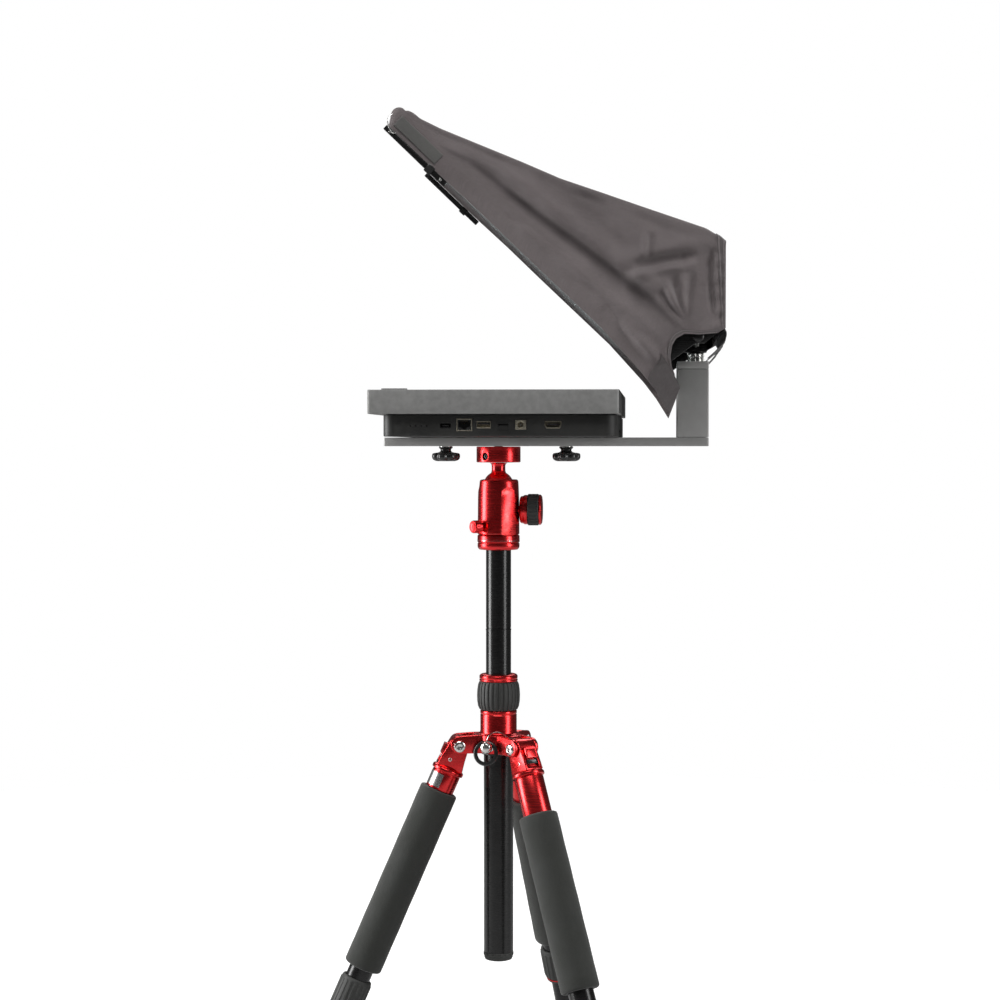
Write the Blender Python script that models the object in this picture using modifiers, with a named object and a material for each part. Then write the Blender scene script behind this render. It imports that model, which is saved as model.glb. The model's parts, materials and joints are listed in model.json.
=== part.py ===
"""Teleprompter on a travel tripod: a flat monitor under a 45 degree glass with a fabric hood.

Units are metres, +Z is up, +X points to the camera side and -X to the reader. The model is built
around the tripod's column, and is moved at the end so that its box stands centred on the origin.
"""
import math

import bmesh
import bpy
from mathutils import Matrix, Vector

MM = 0.001
GAP = 0.3 * MM            # between faces that touch
RUN = 0.3 * MM            # round a shaft in its bore
OVERCUT = 5 * MM          # how far a cutter runs past the face it cuts
MERGE = 0.01 * MM         # points closer than this are one

# Legs: distances are measured down the leg from its hinge pin
LEG_SPLAY = math.radians(23.6)
LEG_AZIMUTHS = {"left": math.radians(189.2), "front": math.radians(-50.8), "rear": math.radians(69.2)}
LEG_LENGTH = 430 * MM
SOCKET_START = 27 * MM
SOCKET_GRIP = 24 * MM     # how much of the leg tube the socket holds
GRIP_START = {"left": 53 * MM, "front": 74 * MM, "rear": 74 * MM}
GRIP_END = 262 * MM
LEG_TUBE_RADIUS = 13.5 * MM
SOCKET_RADIUS = LEG_TUBE_RADIUS + 2 * MM
GRIP_RADIUS = LEG_TUBE_RADIUS + 7.3 * MM
LEG_TUBE_END = 302 * MM
LEG_LOCK_START = 275 * MM
LEG_LOCK_END = 318 * MM
LEG_LOCK_RADIUS = LEG_TUBE_RADIUS + 4 * MM
TUBE_WALL = 1.3 * MM
EXTENSION_START = 72 * MM
EXTENSION_SLIP = 0.7 * MM
EXTENSION_RADIUS = LEG_TUBE_RADIUS - TUBE_WALL - EXTENSION_SLIP
EXTENSION_END = LEG_LENGTH - 20 * MM
FOOT_START = EXTENSION_END - 14 * MM
FOOT_RADIUS = EXTENSION_RADIUS + 3.5 * MM
FOOT_SHOULDER = 8 * MM
FOOT_TAPER = 2.5 * MM
LEG_LOCK_TAPER = 3 * MM   # length, and half as much off the radius

# Leg hinge
TONGUE_WIDTH = 22 * MM
TONGUE_RADIUS = 11 * MM
TONGUE_IN_SOCKET = 4 * MM
EAR_WIDTH = 4 * MM
EAR_REACH = 10 * MM       # past the pin, outwards
PIN_RADIUS = 3.5 * MM
PIN_HEAD_RADIUS = 6.4 * MM
PIN_HEAD = 2.6 * MM
EDGE = 1 * MM             # usual chamfer on turned parts

# Crown and column: heights are above the hinge pins
SPIDER_LOW = -8 * MM
SPIDER_HIGH = 12.5 * MM
UPPER_TUBE_RADIUS = 13.6 * MM
COLUMN_SLIP = 1.1 * MM
LOWER_TUBE_RADIUS = UPPER_TUBE_RADIUS + COLUMN_SLIP + TUBE_WALL
CROWN_RADIUS = LOWER_TUBE_RADIUS + 3.8 * MM
HUB_RADIUS = LOWER_TUBE_RADIUS + 8 * MM
LEG_HINGE_RADIUS = HUB_RADIUS + 19.5 * MM
CROWN_TOP = 38 * MM
LOWER_TUBE_BOTTOM = -235 * MM
LOCK_HEIGHT = 39 * MM
LOCK_BARREL_HEIGHT = 31 * MM
LOCK_BARREL_RADIUS = UPPER_TUBE_RADIUS + 9.8 * MM
LOCK_RING_RADIUS = UPPER_TUBE_RADIUS + 7.6 * MM
LOCK_ROUND = 5 * MM       # length of the barrel's rounded ends, and half as much off its radius
UPPER_TUBE_HIDDEN = 120 * MM
COLUMN_SHOWN = 135 * MM
HOOK_AZIMUTH = math.radians(-110.8)
HOOK_RADIUS = 6.6 * MM
HOOK_SHANK = 3 * MM
# (how much less than the full radius, height above the crown)
HOOK_SHAPE = [(2 * MM, 12 * MM), (0, 8 * MM), (0, 5 * MM), (3 * MM, 4 * MM), (3 * MM, 2 * MM), (MM, 0)]

# Ball head: heights are above the top of the column
PAN_BASE_HEIGHT = 16 * MM
BALL_RADIUS = 16.8 * MM
BALL_SEAT = BALL_RADIUS + RUN
HEAD_WALL = 5.5 * MM
HEAD_RADIUS = BALL_SEAT + HEAD_WALL
PAN_BASE_RADIUS = HEAD_RADIUS + 0.2 * MM
PAN_BASE_FOOT = 5 * MM
PAN_BASE_TAPER = 2 * MM
HEAD_HEIGHT = 59.8 * MM
HEAD_RIM_CHAMFER = 3 * MM
BALL_BELOW_RIM = 7.5 * MM
NECK_RADIUS = 7.8 * MM
NECK_FLARE = 2 * MM
PLATFORM_ABOVE_BALL = 26 * MM
PLATFORM_RADIUS = 24 * MM
PLATFORM_HEIGHT = 17.2 * MM
STUD_RADIUS = 4.6 * MM
LOCK_KNOB_HEIGHT = 27 * MM
LOCK_KNOB_RADIUS = 16 * MM
LOCK_KNOB_SHAFT = 4.5 * MM
LOCK_KNOB_FLANGE = 9 * MM
LOCK_KNOB_GRIP = 12 * MM
LOCK_KNOB_GRIP_DEPTH = 2 * MM
LOCK_KNOB_GRIP_PROUD = 1.4 * MM
LOCK_KNOB_CAP = 4 * MM
LOCK_KNOB_CAP_RADIUS = 9 * MM
PAN_KNOB_HEIGHT = 9 * MM
PAN_KNOB_AZIMUTH = math.radians(-137)
PAN_KNOB_RADIUS = 7 * MM
PAN_KNOB_SHAFT = 2.5 * MM
# (how much less than the full radius, height above the head)
PAN_KNOB_SHAPE = [(1.5 * MM, 13 * MM), (0, 11 * MM), (0, 4 * MM), (2 * MM, 3 * MM), (2 * MM, 0)]
KNOB_SHAFT_DEPTH = 5 * MM

# Base plate and monitor: X is measured from the column's axis
PLATE_LEFT = -118 * MM
PLATE_WIDTH = 120 * MM
PLATE_THICK = 9.4 * MM
PLATE_EDGE = 0.8 * MM     # rounded edges of the plate, upright and cap
STUD_IN_PLATE = 7.5 * MM
MONITOR_LEFT = -118.7 * MM
MONITOR_DEPTH = 253.4 * MM
MONITOR_WIDTH = 380 * MM
BEZEL_HEIGHT = 24.6 * MM
BEZEL_WALL = 3 * MM
BEZEL_EDGE = 2.5 * MM
CASE_LEFT_INSET = 14.2 * MM
CASE_RIGHT_INSET = 2.7 * MM
CASE_SIDE_INSET = 10 * MM
CASE_HEIGHT = 22.4 * MM
CASE_WALL = 2.5 * MM
CASE_CHAMFER = 6 * MM
SCREEN_MARGIN_X = 28.7 * MM
SCREEN_MARGIN_Y = 17 * MM
SCREEN_DEPTH = MONITOR_DEPTH - 2 * SCREEN_MARGIN_X
SCREEN_WIDTH = MONITOR_WIDTH - 2 * SCREEN_MARGIN_Y
PANEL_LIP = 8 * MM
PANEL_THICK = 7 * MM
BOARD_DEPTH = 110 * MM
BOARD_THICK = 1.6 * MM
BOARD_HEIGHT = 6 * MM
BOARD_POST_RADIUS = 3 * MM
BOARD_POST_INSET = 8 * MM
BOARD_POST_SPACING = 142 * MM
BOARD_TO_BOSS = 3 * MM
THUMB_SPACING = 131 * MM
THUMB_MIDDLE = 8 * MM
THUMB_SHAFT = 3 * MM
THUMB_BOSS = 7 * MM
THUMB_BOSS_RADIUS = 7 * MM
THUMB_BOSS_END = 3 * MM
THUMB_TAPER = 4 * MM
THUMB_RADIUS = 15.5 * MM
THUMB_HEIGHT = 16 * MM
THUMB_NECK = 4.5 * MM
THUMB_NECK_RADIUS = 7.8 * MM
SLOT_LENGTH = 26 * MM
# name: (middle in X, width, height) of each socket's body in the case's near wall
PORTS = {
    "port_ethernet": (-21.4 * MM, 16 * MM, 12.6 * MM),
    "port_usb": (-1.8 * MM, 14.4 * MM, 7.4 * MM),
    "port_dc": (35.4 * MM, 11 * MM, 9.6 * MM),
    "port_hdmi": (67.9 * MM, 17 * MM, 7.4 * MM),
}
PORT_HEIGHT = 12.3 * MM   # middle of the sockets above the plate
PORT_DEPTH = 14 * MM
PORT_WALL = 1 * MM
PORT_SOCKET_DEPTH = 11 * MM

# Upright that carries the glass
MONITOR_TO_GLASS = 35.3 * MM
SLOPE_X = MONITOR_LEFT + MONITOR_DEPTH + MONITOR_TO_GLASS
GLASS_TO_UPRIGHT = 22.6 * MM
UPRIGHT_DEPTH = 33.4 * MM
PLATE_RIGHT = SLOPE_X + GLASS_TO_UPRIGHT + UPRIGHT_DEPTH
UPRIGHT_HEIGHT = 71.5 * MM
UPRIGHT_WALL = 3 * MM
CAP_THICK = 8 * MM
POST_RADIUS = 5 * MM
NUT_RADIUS = 9.2 * MM
NUT_HEIGHT = 11 * MM
BLOCK_DEPTH = 24 * MM
BLOCK_WIDTH = 30 * MM
BLOCK_HEIGHT = 16 * MM
BLOCK_EDGE = 1.5 * MM
POST_IN_BLOCK = 3 * MM
PIVOT_FROM_EDGE = 13 * MM
PIVOT_X = PLATE_RIGHT - PIVOT_FROM_EDGE
PIVOT_ROD_RADIUS = 3.5 * MM

# Glass frame: its slope is measured up and to the left from the low corner of the hood
GLASS_SLOPE = math.radians(44)
SLOPE_HEIGHT = 58.9 * MM  # above the plate's underside
FRAME_LENGTH = 374 * MM
FRAME_SLIP = 0.5 * MM     # to the hood's side walls
HOOD_HALF_WIDTH = MONITOR_WIDTH / 2
HOOD_WALL = 2.5 * MM
FRAME_WIDTH = 2 * (HOOD_HALF_WIDTH - HOOD_WALL - FRAME_SLIP)
FRAME_BAR = 12 * MM
FRAME_RISE = 6 * MM       # from the slope line to the frame's lower face
FRAME_THICK = 6 * MM
GLASS_THICK = 3 * MM
GLASS_LAP = 3.5 * MM
ARM_THICK = 4 * MM
ARM_WIDTH = 13 * MM
ARM_ON_FRAME = 22 * MM    # up the slope
ARM_BEND = 3 * MM         # from the pivot to the bend
ARM_RISE = 32.5 * MM      # of its upright end above the pivot
TOP_ROD_RADIUS = 5.5 * MM

# Hood
HOOD_WRAP = 8.5 * MM      # outer radius of the fabric round the top rod
REAR_OVERHANG = 14 * MM
REAR_X = PLATE_RIGHT + REAR_OVERHANG
REAR_TOP = 204 * MM       # the hood's rear heights are above the plate's underside
REAR_LOW = 116 * MM
REAR_PANEL_THICK = 2.5 * MM
REAR_PANEL_SET_IN = 1.5 * MM
REAR_PANEL_RAISED = 1 * MM
REAR_PANEL_BELOW_ROOF = 5 * MM
REAR_PANEL_BOTTOM = REAR_LOW + REAR_PANEL_RAISED
REAR_PANEL_TOP = REAR_TOP - REAR_PANEL_BELOW_ROOF
LENS_WIDTH = 130 * MM
LENS_HEIGHT = 60 * MM
CLAMP_LENGTH = 84 * MM
CLAMP_HEIGHT = 6 * MM
CLAMP_THICK = 4 * MM
HOOD_FRONT_OUT = 3 * MM   # the sides' front edge stands this far out of the slope line
HOOD_FRONT_BEND = 60 * MM
WRAP_START = 180
WRAP_END = 70
# (share of the run to the rear, rise above the straight line) of the roof's bends
ROOF_BENDS = [(0.085, -4.6 * MM), (0.47, -4.5 * MM), (0.6, -2.8 * MM), (0.955, 2.4 * MM)]
TIP_RIGHT = 14.5 * MM     # from the foot of the slope
TIP_HEIGHT = 32 * MM
# (right, up) of the open arch's bends from the tip, and from the rear's low corner
ARCH_FROM_TIP = [(18.5 * MM, 74 * MM), (17.5 * MM, 45 * MM), (12.5 * MM, 26 * MM)]
ARCH_FROM_REAR = (-4 * MM, -5 * MM)
BEYOND = 200 * MM         # a cutter's reach past the hood

# Worked-out heights above the floor
HINGE_Z = LEG_LENGTH * math.cos(LEG_SPLAY)
LOCK_BOTTOM = CROWN_TOP + GAP
COLUMN_TOP = HINGE_Z + LOCK_BOTTOM + LOCK_HEIGHT + COLUMN_SHOWN
PAN_BOTTOM = COLUMN_TOP + GAP
HEAD_BOTTOM = PAN_BOTTOM + PAN_BASE_HEIGHT + GAP
HEAD_TOP = HEAD_BOTTOM + HEAD_HEIGHT
BALL_Z = HEAD_TOP - BALL_BELOW_RIM
PLATFORM_BOTTOM = BALL_Z + PLATFORM_ABOVE_BALL
PLATE_BOTTOM = PLATFORM_BOTTOM + PLATFORM_HEIGHT + GAP
PLATE_TOP = PLATE_BOTTOM + PLATE_THICK
CASE_BOTTOM = PLATE_TOP + GAP
BEZEL_BOTTOM = CASE_BOTTOM + CASE_HEIGHT + GAP
BEZEL_TOP = BEZEL_BOTTOM + BEZEL_HEIGHT
PANEL_TOP = BEZEL_TOP - BEZEL_WALL - GAP
UPRIGHT_BOTTOM = PLATE_TOP + GAP
CAP_BOTTOM = UPRIGHT_BOTTOM + UPRIGHT_HEIGHT + GAP
CAP_TOP = CAP_BOTTOM + CAP_THICK
BLOCK_BOTTOM = CAP_TOP + GAP + NUT_HEIGHT + GAP
PIVOT_Z = BLOCK_BOTTOM + BLOCK_HEIGHT / 2

SLOPE_ALONG = Vector((-math.cos(GLASS_SLOPE), 0, math.sin(GLASS_SLOPE)))
SLOPE_OUT = Vector((math.sin(GLASS_SLOPE), 0, math.cos(GLASS_SLOPE)))
SLOPE_START = Vector((SLOPE_X, 0, PLATE_BOTTOM + SLOPE_HEIGHT))


def reset():
    for obj in list(bpy.data.objects):
        bpy.data.objects.remove(obj, do_unlink=True)


def new_collection(name):
    collection = bpy.data.collections.new(name)
    bpy.context.scene.collection.children.link(collection)
    return collection


reset()
PARTS = new_collection("teleprompter")
CUTTERS = new_collection("cutters")

COLOURS = {  # name: (colour, roughness, metallic)
    "grey_paint": ((0.17, 0.17, 0.165, 1), 0.45, 0.5),
    "dark_plastic": ((0.03, 0.03, 0.028, 1), 0.5, 0.0),
    "bezel_plastic": ((0.12, 0.12, 0.118, 1), 0.45, 0.0),
    "red_anodised": ((0.55, 0.02, 0.025, 1), 0.3, 1.0),
    "black_tube": ((0.012, 0.012, 0.012, 1), 0.3, 0.6),
    "rubber": ((0.035, 0.036, 0.034, 1), 0.8, 0.0),
    "foam": ((0.045, 0.05, 0.045, 1), 0.9, 0.0),
    "steel": ((0.6, 0.6, 0.58, 1), 0.3, 1.0),
    "glass": ((0.85, 0.9, 0.9, 1), 0.02, 0.0),
    "fabric": ((0.14, 0.12, 0.122, 1), 0.85, 0.0),
    "screen": ((0.01, 0.01, 0.012, 1), 0.15, 0.0),
    "board": ((0.02, 0.13, 0.05, 1), 0.6, 0.0),
}


def material(name):
    made = bpy.data.materials.get(name)
    if made is None:
        colour, roughness, metallic = COLOURS[name]
        made = bpy.data.materials.new(name)
        made.use_nodes = True
        shader = made.node_tree.nodes["Principled BSDF"]
        shader.inputs["Base Color"].default_value = colour
        shader.inputs["Roughness"].default_value = roughness
        shader.inputs["Metallic"].default_value = metallic
    return made


# ---------------------------------------------------------------- solids

def add_object(name, mesh, finish):
    """A mesh becomes a part, or a cutter where no finish is given."""
    obj = bpy.data.objects.new(name, mesh)
    if finish:
        PARTS.objects.link(obj)
        mesh.materials.append(material(finish))
        mesh.shade_smooth()
        mesh.set_sharp_from_angle(angle=math.radians(35))
    else:
        CUTTERS.objects.link(obj)
        obj.hide_render = True
        obj.display_type = "WIRE"
    return obj


def box(name, low, high, finish=None, round_edges=0.0):
    low, high = Vector(low), Vector(high)
    mesh = bpy.data.meshes.new(name)
    bm = bmesh.new()
    bmesh.ops.create_cube(bm, size=1)
    bmesh.ops.scale(bm, vec=high - low, verts=bm.verts)
    bmesh.ops.translate(bm, vec=(low + high) / 2, verts=bm.verts)
    bm.to_mesh(mesh)
    bm.free()
    obj = add_object(name, mesh, finish)
    if round_edges:
        bevel = obj.modifiers.new("rounded edges", "BEVEL")
        bevel.width = round_edges
        bevel.segments = 2
    return obj


def turned(name, profile, finish=None, closed=False, steps=28):
    """A (radius, height) profile that runs down its outer side, turned about Z."""
    mesh = bpy.data.meshes.new(name)
    points = [(r, 0, z) for r, z in profile]
    edges = [(i, i + 1) for i in range(len(points) - 1)]
    if closed:
        edges.append((len(points) - 1, 0))
    mesh.from_pydata(points, edges, [])
    obj = add_object(name, mesh, finish)
    screw = obj.modifiers.new("turned", "SCREW")
    screw.axis = "Z"
    screw.steps = screw.render_steps = steps
    screw.use_merge_vertices = True
    screw.merge_threshold = MERGE
    screw.use_smooth_shade = True
    return obj


def disc(name, radius, low, high, finish=None, steps=28):
    return turned(name, [(0, high), (radius, high), (radius, low), (0, low)], finish, steps=steps)


def tube(name, outer, inner, low, high, finish=None, steps=28):
    profile = [(inner, high), (outer, high), (outer, low), (inner, low)]
    return turned(name, profile, finish, closed=True, steps=steps)


def outline(name, points, low_y, high_y, finish=None):
    """A flat outline in X and Z, extruded along Y, as a closed mesh."""
    curve = bpy.data.curves.new(name, "CURVE")
    curve.dimensions = "2D"
    curve.fill_mode = "BOTH"
    curve.extrude = (high_y - low_y) / 2
    spline = curve.splines.new("POLY")
    spline.points.add(len(points) - 1)
    for point, (x, z) in zip(spline.points, points):
        point.co = (x, z, 0, 1)
    spline.use_cyclic_u = True
    flat = bpy.data.objects.new(name + "_outline", curve)
    bpy.context.scene.collection.objects.link(flat)
    flat.rotation_euler = (math.pi / 2, 0, 0)
    flat.location = (0, (low_y + high_y) / 2, 0)
    bpy.context.view_layer.update()
    graph = bpy.context.evaluated_depsgraph_get()
    mesh = bpy.data.meshes.new_from_object(flat.evaluated_get(graph))
    mesh.name = name
    bm = bmesh.new()
    bm.from_mesh(mesh)
    bmesh.ops.remove_doubles(bm, verts=bm.verts, dist=MERGE)
    bm.to_mesh(mesh)
    bm.free()
    obj = add_object(name, mesh, finish)
    obj.matrix_world = flat.matrix_world.copy()
    bpy.data.objects.remove(flat, do_unlink=True)
    bpy.data.curves.remove(curve)
    return obj


def arc(middle, radius, start, end, steps):
    """Points on a circle round middle, from start to end in degrees."""
    angles = [math.radians(start + (end - start) * i / steps) for i in range(steps + 1)]
    return [(middle[0] + radius * math.cos(a), middle[1] + radius * math.sin(a)) for a in angles]


def boolean(obj, other, operation):
    modifier = obj.modifiers.new(operation.lower() + " " + other.name, "BOOLEAN")
    modifier.operation = operation
    modifier.solver = "EXACT"
    modifier.object = other


def cut(obj, *cutters):
    for cutter in cutters:
        boolean(obj, cutter, "DIFFERENCE")


def fuse(obj, *others):
    for other in others:
        boolean(obj, other, "UNION")


def place(matrix, *objs):
    for obj in objs:
        obj.matrix_world = matrix @ obj.matrix_basis


def along(start, direction):
    """A frame at start whose Z runs in direction."""
    turn = Vector(direction).to_track_quat("Z", "Y").to_matrix().to_4x4()
    return Matrix.Translation(start) @ turn


# ---------------------------------------------------------------- bodies

def body(name, position, parent=None, turn=None):
    """An empty on a joint's axis. Its Z is the joint's axis where a turn is given."""
    empty = bpy.data.objects.new(name, None)
    PARTS.objects.link(empty)
    empty.empty_display_size = 20 * MM
    empty.matrix_world = Matrix.Translation(position) @ (turn or Matrix.Identity(4))
    if parent:
        attach(parent, empty)
    return empty


def attach(empty, *objs):
    """The objects keep their place and move with the empty."""
    bpy.context.view_layer.update()
    for obj in objs:
        obj.parent = empty
        obj.matrix_parent_inverse = empty.matrix_world.inverted()


def radial(azimuth, distance=0.0, height=0.0):
    return Vector((distance * math.cos(azimuth), distance * math.sin(azimuth), height))


# ---------------------------------------------------------------- tripod

def leg_frames(azimuth):
    """The leg's own frame (Z down the leg, Y along the hinge pin) and the crown's radial frame."""
    level = Matrix.Translation((0, 0, HINGE_Z)) @ Matrix.Rotation(azimuth, 4, "Z")
    hinge = level @ Matrix.Translation((LEG_HINGE_RADIUS, 0, 0))
    return hinge @ Matrix.Rotation(math.pi - LEG_SPLAY, 4, "Y"), level


def make_bracket(name, socket_end):
    bracket = turned(name, [
        (0, socket_end), (LEG_TUBE_RADIUS + RUN, socket_end), (SOCKET_RADIUS, socket_end),
        (SOCKET_RADIUS, SOCKET_START), (0, SOCKET_START)], "red_anodised", steps=24)
    half = TONGUE_WIDTH / 2
    neck_end = SOCKET_START + TONGUE_IN_SOCKET
    points = arc((0, 0), TONGUE_RADIUS, 180, 0, 8)
    points = [(-x, -z) for x, z in points] + [(-TONGUE_RADIUS, neck_end), (TONGUE_RADIUS, neck_end)]
    tongue = outline(name + "_tongue", points, -half, half)
    bore = disc(name + "_socket", LEG_TUBE_RADIUS + RUN, socket_end - SOCKET_GRIP, socket_end + OVERCUT,
                steps=24)
    hole = disc(name + "_pin_hole", PIN_RADIUS + RUN, -TONGUE_WIDTH, TONGUE_WIDTH, steps=16)
    hole.rotation_euler = (math.pi / 2, 0, 0)
    bpy.context.view_layer.update()
    fuse(bracket, tongue)
    cut(bracket, bore, hole)
    return bracket, [tongue, bore, hole]


def make_leg(side, azimuth, crown_body):
    """One leg: bracket, tube, foam grip, twist lock, sliding section and foot."""
    frame, _ = leg_frames(azimuth)
    name = "leg_" + side
    socket_end = GRIP_START[side] - GAP
    bracket, cutters = make_bracket(name + "_bracket", socket_end)
    inner = LEG_TUBE_RADIUS - TUBE_WALL
    tube_start = socket_end - SOCKET_GRIP + GAP
    leg_tube = tube(name + "_tube", LEG_TUBE_RADIUS, inner, tube_start, LEG_TUBE_END, "black_tube", 24)
    grip = tube(name + "_grip", GRIP_RADIUS, LEG_TUBE_RADIUS + RUN, GRIP_START[side], GRIP_END, "foam", 24)
    sleeve = EXTENSION_RADIUS + RUN
    lock_bore = LEG_TUBE_RADIUS + RUN
    step = LEG_TUBE_END + GAP
    lock = turned(name + "_lock", [
        (sleeve, LEG_LOCK_END), (LEG_LOCK_RADIUS - LEG_LOCK_TAPER / 2, LEG_LOCK_END),
        (LEG_LOCK_RADIUS, LEG_LOCK_END - LEG_LOCK_TAPER), (LEG_LOCK_RADIUS, LEG_LOCK_START),
        (lock_bore, LEG_LOCK_START), (lock_bore, step), (sleeve, step)], "rubber", closed=True, steps=24)
    extension = tube(name + "_extension", EXTENSION_RADIUS, EXTENSION_RADIUS - TUBE_WALL,
                     EXTENSION_START, EXTENSION_END, "black_tube", 20)
    foot = turned(name + "_foot", [
        (0, LEG_LENGTH + OVERCUT), (FOOT_RADIUS, LEG_LENGTH + OVERCUT),
        (FOOT_RADIUS, FOOT_START + FOOT_SHOULDER), (FOOT_RADIUS - FOOT_TAPER, FOOT_START), (sleeve, FOOT_START),
        (sleeve, EXTENSION_END + GAP), (0, EXTENSION_END + GAP)], "rubber", steps=20)
    hinge = body(name, frame.translation, crown_body, frame.to_quaternion().to_matrix().to_4x4())
    pieces = [bracket, leg_tube, grip, lock, extension, foot]
    place(frame, *pieces, *cutters)
    floor = box(name + "_floor", (-1, -1, -1), (1, 1, 0))
    cut(foot, floor)
    attach(hinge, bracket, leg_tube, grip, *cutters)
    turn = frame.to_quaternion().to_matrix().to_4x4()
    attach(body(name + "_lock_turn", frame @ Vector((0, 0, LEG_LOCK_START)), hinge, turn), lock)
    attach(body(name + "_slide", frame @ Vector((0, 0, LEG_TUBE_END)), hinge, turn), extension, foot, floor)


def make_pin(side, azimuth, crown_body):
    """Hinge pin with a head at each end."""
    shank = TONGUE_WIDTH / 2 + GAP + EAR_WIDTH + GAP
    head = shank + PIN_HEAD
    pin = turned("leg_" + side + "_pin", [
        (0, head), (PIN_HEAD_RADIUS - EDGE, head), (PIN_HEAD_RADIUS, head - EDGE), (PIN_HEAD_RADIUS, shank),
        (PIN_RADIUS, shank), (PIN_RADIUS, -shank), (PIN_HEAD_RADIUS, -shank), (PIN_HEAD_RADIUS, EDGE - head),
        (PIN_HEAD_RADIUS - EDGE, -head), (0, -head)], "steel", steps=20)
    _, level = leg_frames(azimuth)
    turn = Matrix.Rotation(math.pi / 2, 4, "X")
    place(level @ Matrix.Translation((LEG_HINGE_RADIUS, 0, 0)) @ turn, pin)
    attach(crown_body, pin)


def make_crown(crown_body):
    crown = turned("crown", [
        (0, CROWN_TOP), (CROWN_RADIUS, CROWN_TOP), (CROWN_RADIUS, SPIDER_HIGH), (HUB_RADIUS, SPIDER_HIGH),
        (HUB_RADIUS, SPIDER_LOW), (0, SPIDER_LOW)], "red_anodised", steps=36)
    place(Matrix.Translation((0, 0, HINGE_Z)), crown)
    attach(crown_body, crown)
    near = TONGUE_WIDTH / 2 + GAP
    middle = (SPIDER_HIGH + SPIDER_LOW) / 2
    half = (SPIDER_HIGH - SPIDER_LOW) / 2
    end = LEG_HINGE_RADIUS + EAR_REACH - half
    points = [(HUB_RADIUS / 2, middle - half)] + arc((end, middle), half, -90, 90, 8)
    points.append((HUB_RADIUS / 2, middle + half))
    for side, azimuth in LEG_AZIMUTHS.items():
        _, level = leg_frames(azimuth)
        for label, low, high in (("a", near, near + EAR_WIDTH), ("b", -near - EAR_WIDTH, -near)):
            ear = outline("ear_" + side + "_" + label, points, low, high)
            place(level, ear)
            attach(crown_body, ear)
            fuse(crown, ear)
        hole = disc("pin_hole_" + side, PIN_RADIUS + RUN, -2 * TONGUE_WIDTH, 2 * TONGUE_WIDTH, steps=16)
        place(level @ Matrix.Translation((LEG_HINGE_RADIUS, 0, 0)) @ Matrix.Rotation(math.pi / 2, 4, "X"), hole)
        attach(crown_body, hole)
        cut(crown, hole)
    bore = disc("column_bore", LOWER_TUBE_RADIUS + RUN, SPIDER_LOW - OVERCUT, CROWN_TOP + OVERCUT, steps=36)
    hook_hole = disc("hook_hole", HOOK_SHANK + RUN, HUB_RADIUS - KNOB_SHAFT_DEPTH, HUB_RADIUS + OVERCUT, steps=12)
    place(Matrix.Translation((0, 0, HINGE_Z)), bore)
    place(along((0, 0, HINGE_Z), radial(HOOK_AZIMUTH, 1)), hook_hole)
    attach(crown_body, bore, hook_hole)
    cut(crown, bore, hook_hole)
    start = HUB_RADIUS + GAP
    outside = [(HOOK_RADIUS - less, start + height) for less, height in HOOK_SHAPE]
    hook = turned("hook_knob", [(0, outside[0][1])] + outside + [
        (HOOK_SHANK, start), (HOOK_SHANK, start - KNOB_SHAFT_DEPTH), (0, start - KNOB_SHAFT_DEPTH)], "steel",
        steps=20)
    place(along((0, 0, HINGE_Z), radial(HOOK_AZIMUTH, 1)), hook)
    attach(crown_body, hook)


def make_column(crown_body):
    """Fixed lower tube, sliding upper tube and the ribbed twist lock between them."""
    lift = Matrix.Translation((0, 0, HINGE_Z))
    lower = tube("column_lower", LOWER_TUBE_RADIUS, LOWER_TUBE_RADIUS - TUBE_WALL, LOWER_TUBE_BOTTOM,
                 CROWN_TOP, "black_tube")
    low, high = LOCK_BOTTOM, LOCK_BOTTOM + LOCK_HEIGHT
    shoulder = low + LOCK_BARREL_HEIGHT
    lock = turned("column_lock", [
        (UPPER_TUBE_RADIUS + RUN, high), (LOCK_RING_RADIUS - EDGE, high), (LOCK_RING_RADIUS, high - EDGE),
        (LOCK_RING_RADIUS, shoulder), (LOCK_BARREL_RADIUS - LOCK_ROUND / 2, shoulder - EDGE),
        (LOCK_BARREL_RADIUS, shoulder - LOCK_ROUND), (LOCK_BARREL_RADIUS, low + LOCK_ROUND),
        (LOCK_BARREL_RADIUS - LOCK_ROUND / 2, low), (UPPER_TUBE_RADIUS + RUN, low)], "rubber", closed=True, steps=32)
    upper_low = HINGE_Z + CROWN_TOP - UPPER_TUBE_HIDDEN
    upper = tube("column_upper", UPPER_TUBE_RADIUS, UPPER_TUBE_RADIUS - TUBE_WALL, upper_low, COLUMN_TOP,
                 "black_tube")
    place(lift, lower, lock)
    attach(crown_body, lower)
    attach(body("column_lock_turn", (0, 0, HINGE_Z + low), crown_body), lock)
    slide = body("column_slide", (0, 0, HINGE_Z + high), crown_body)
    attach(slide, upper)
    return slide


# ---------------------------------------------------------------- ball head

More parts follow.
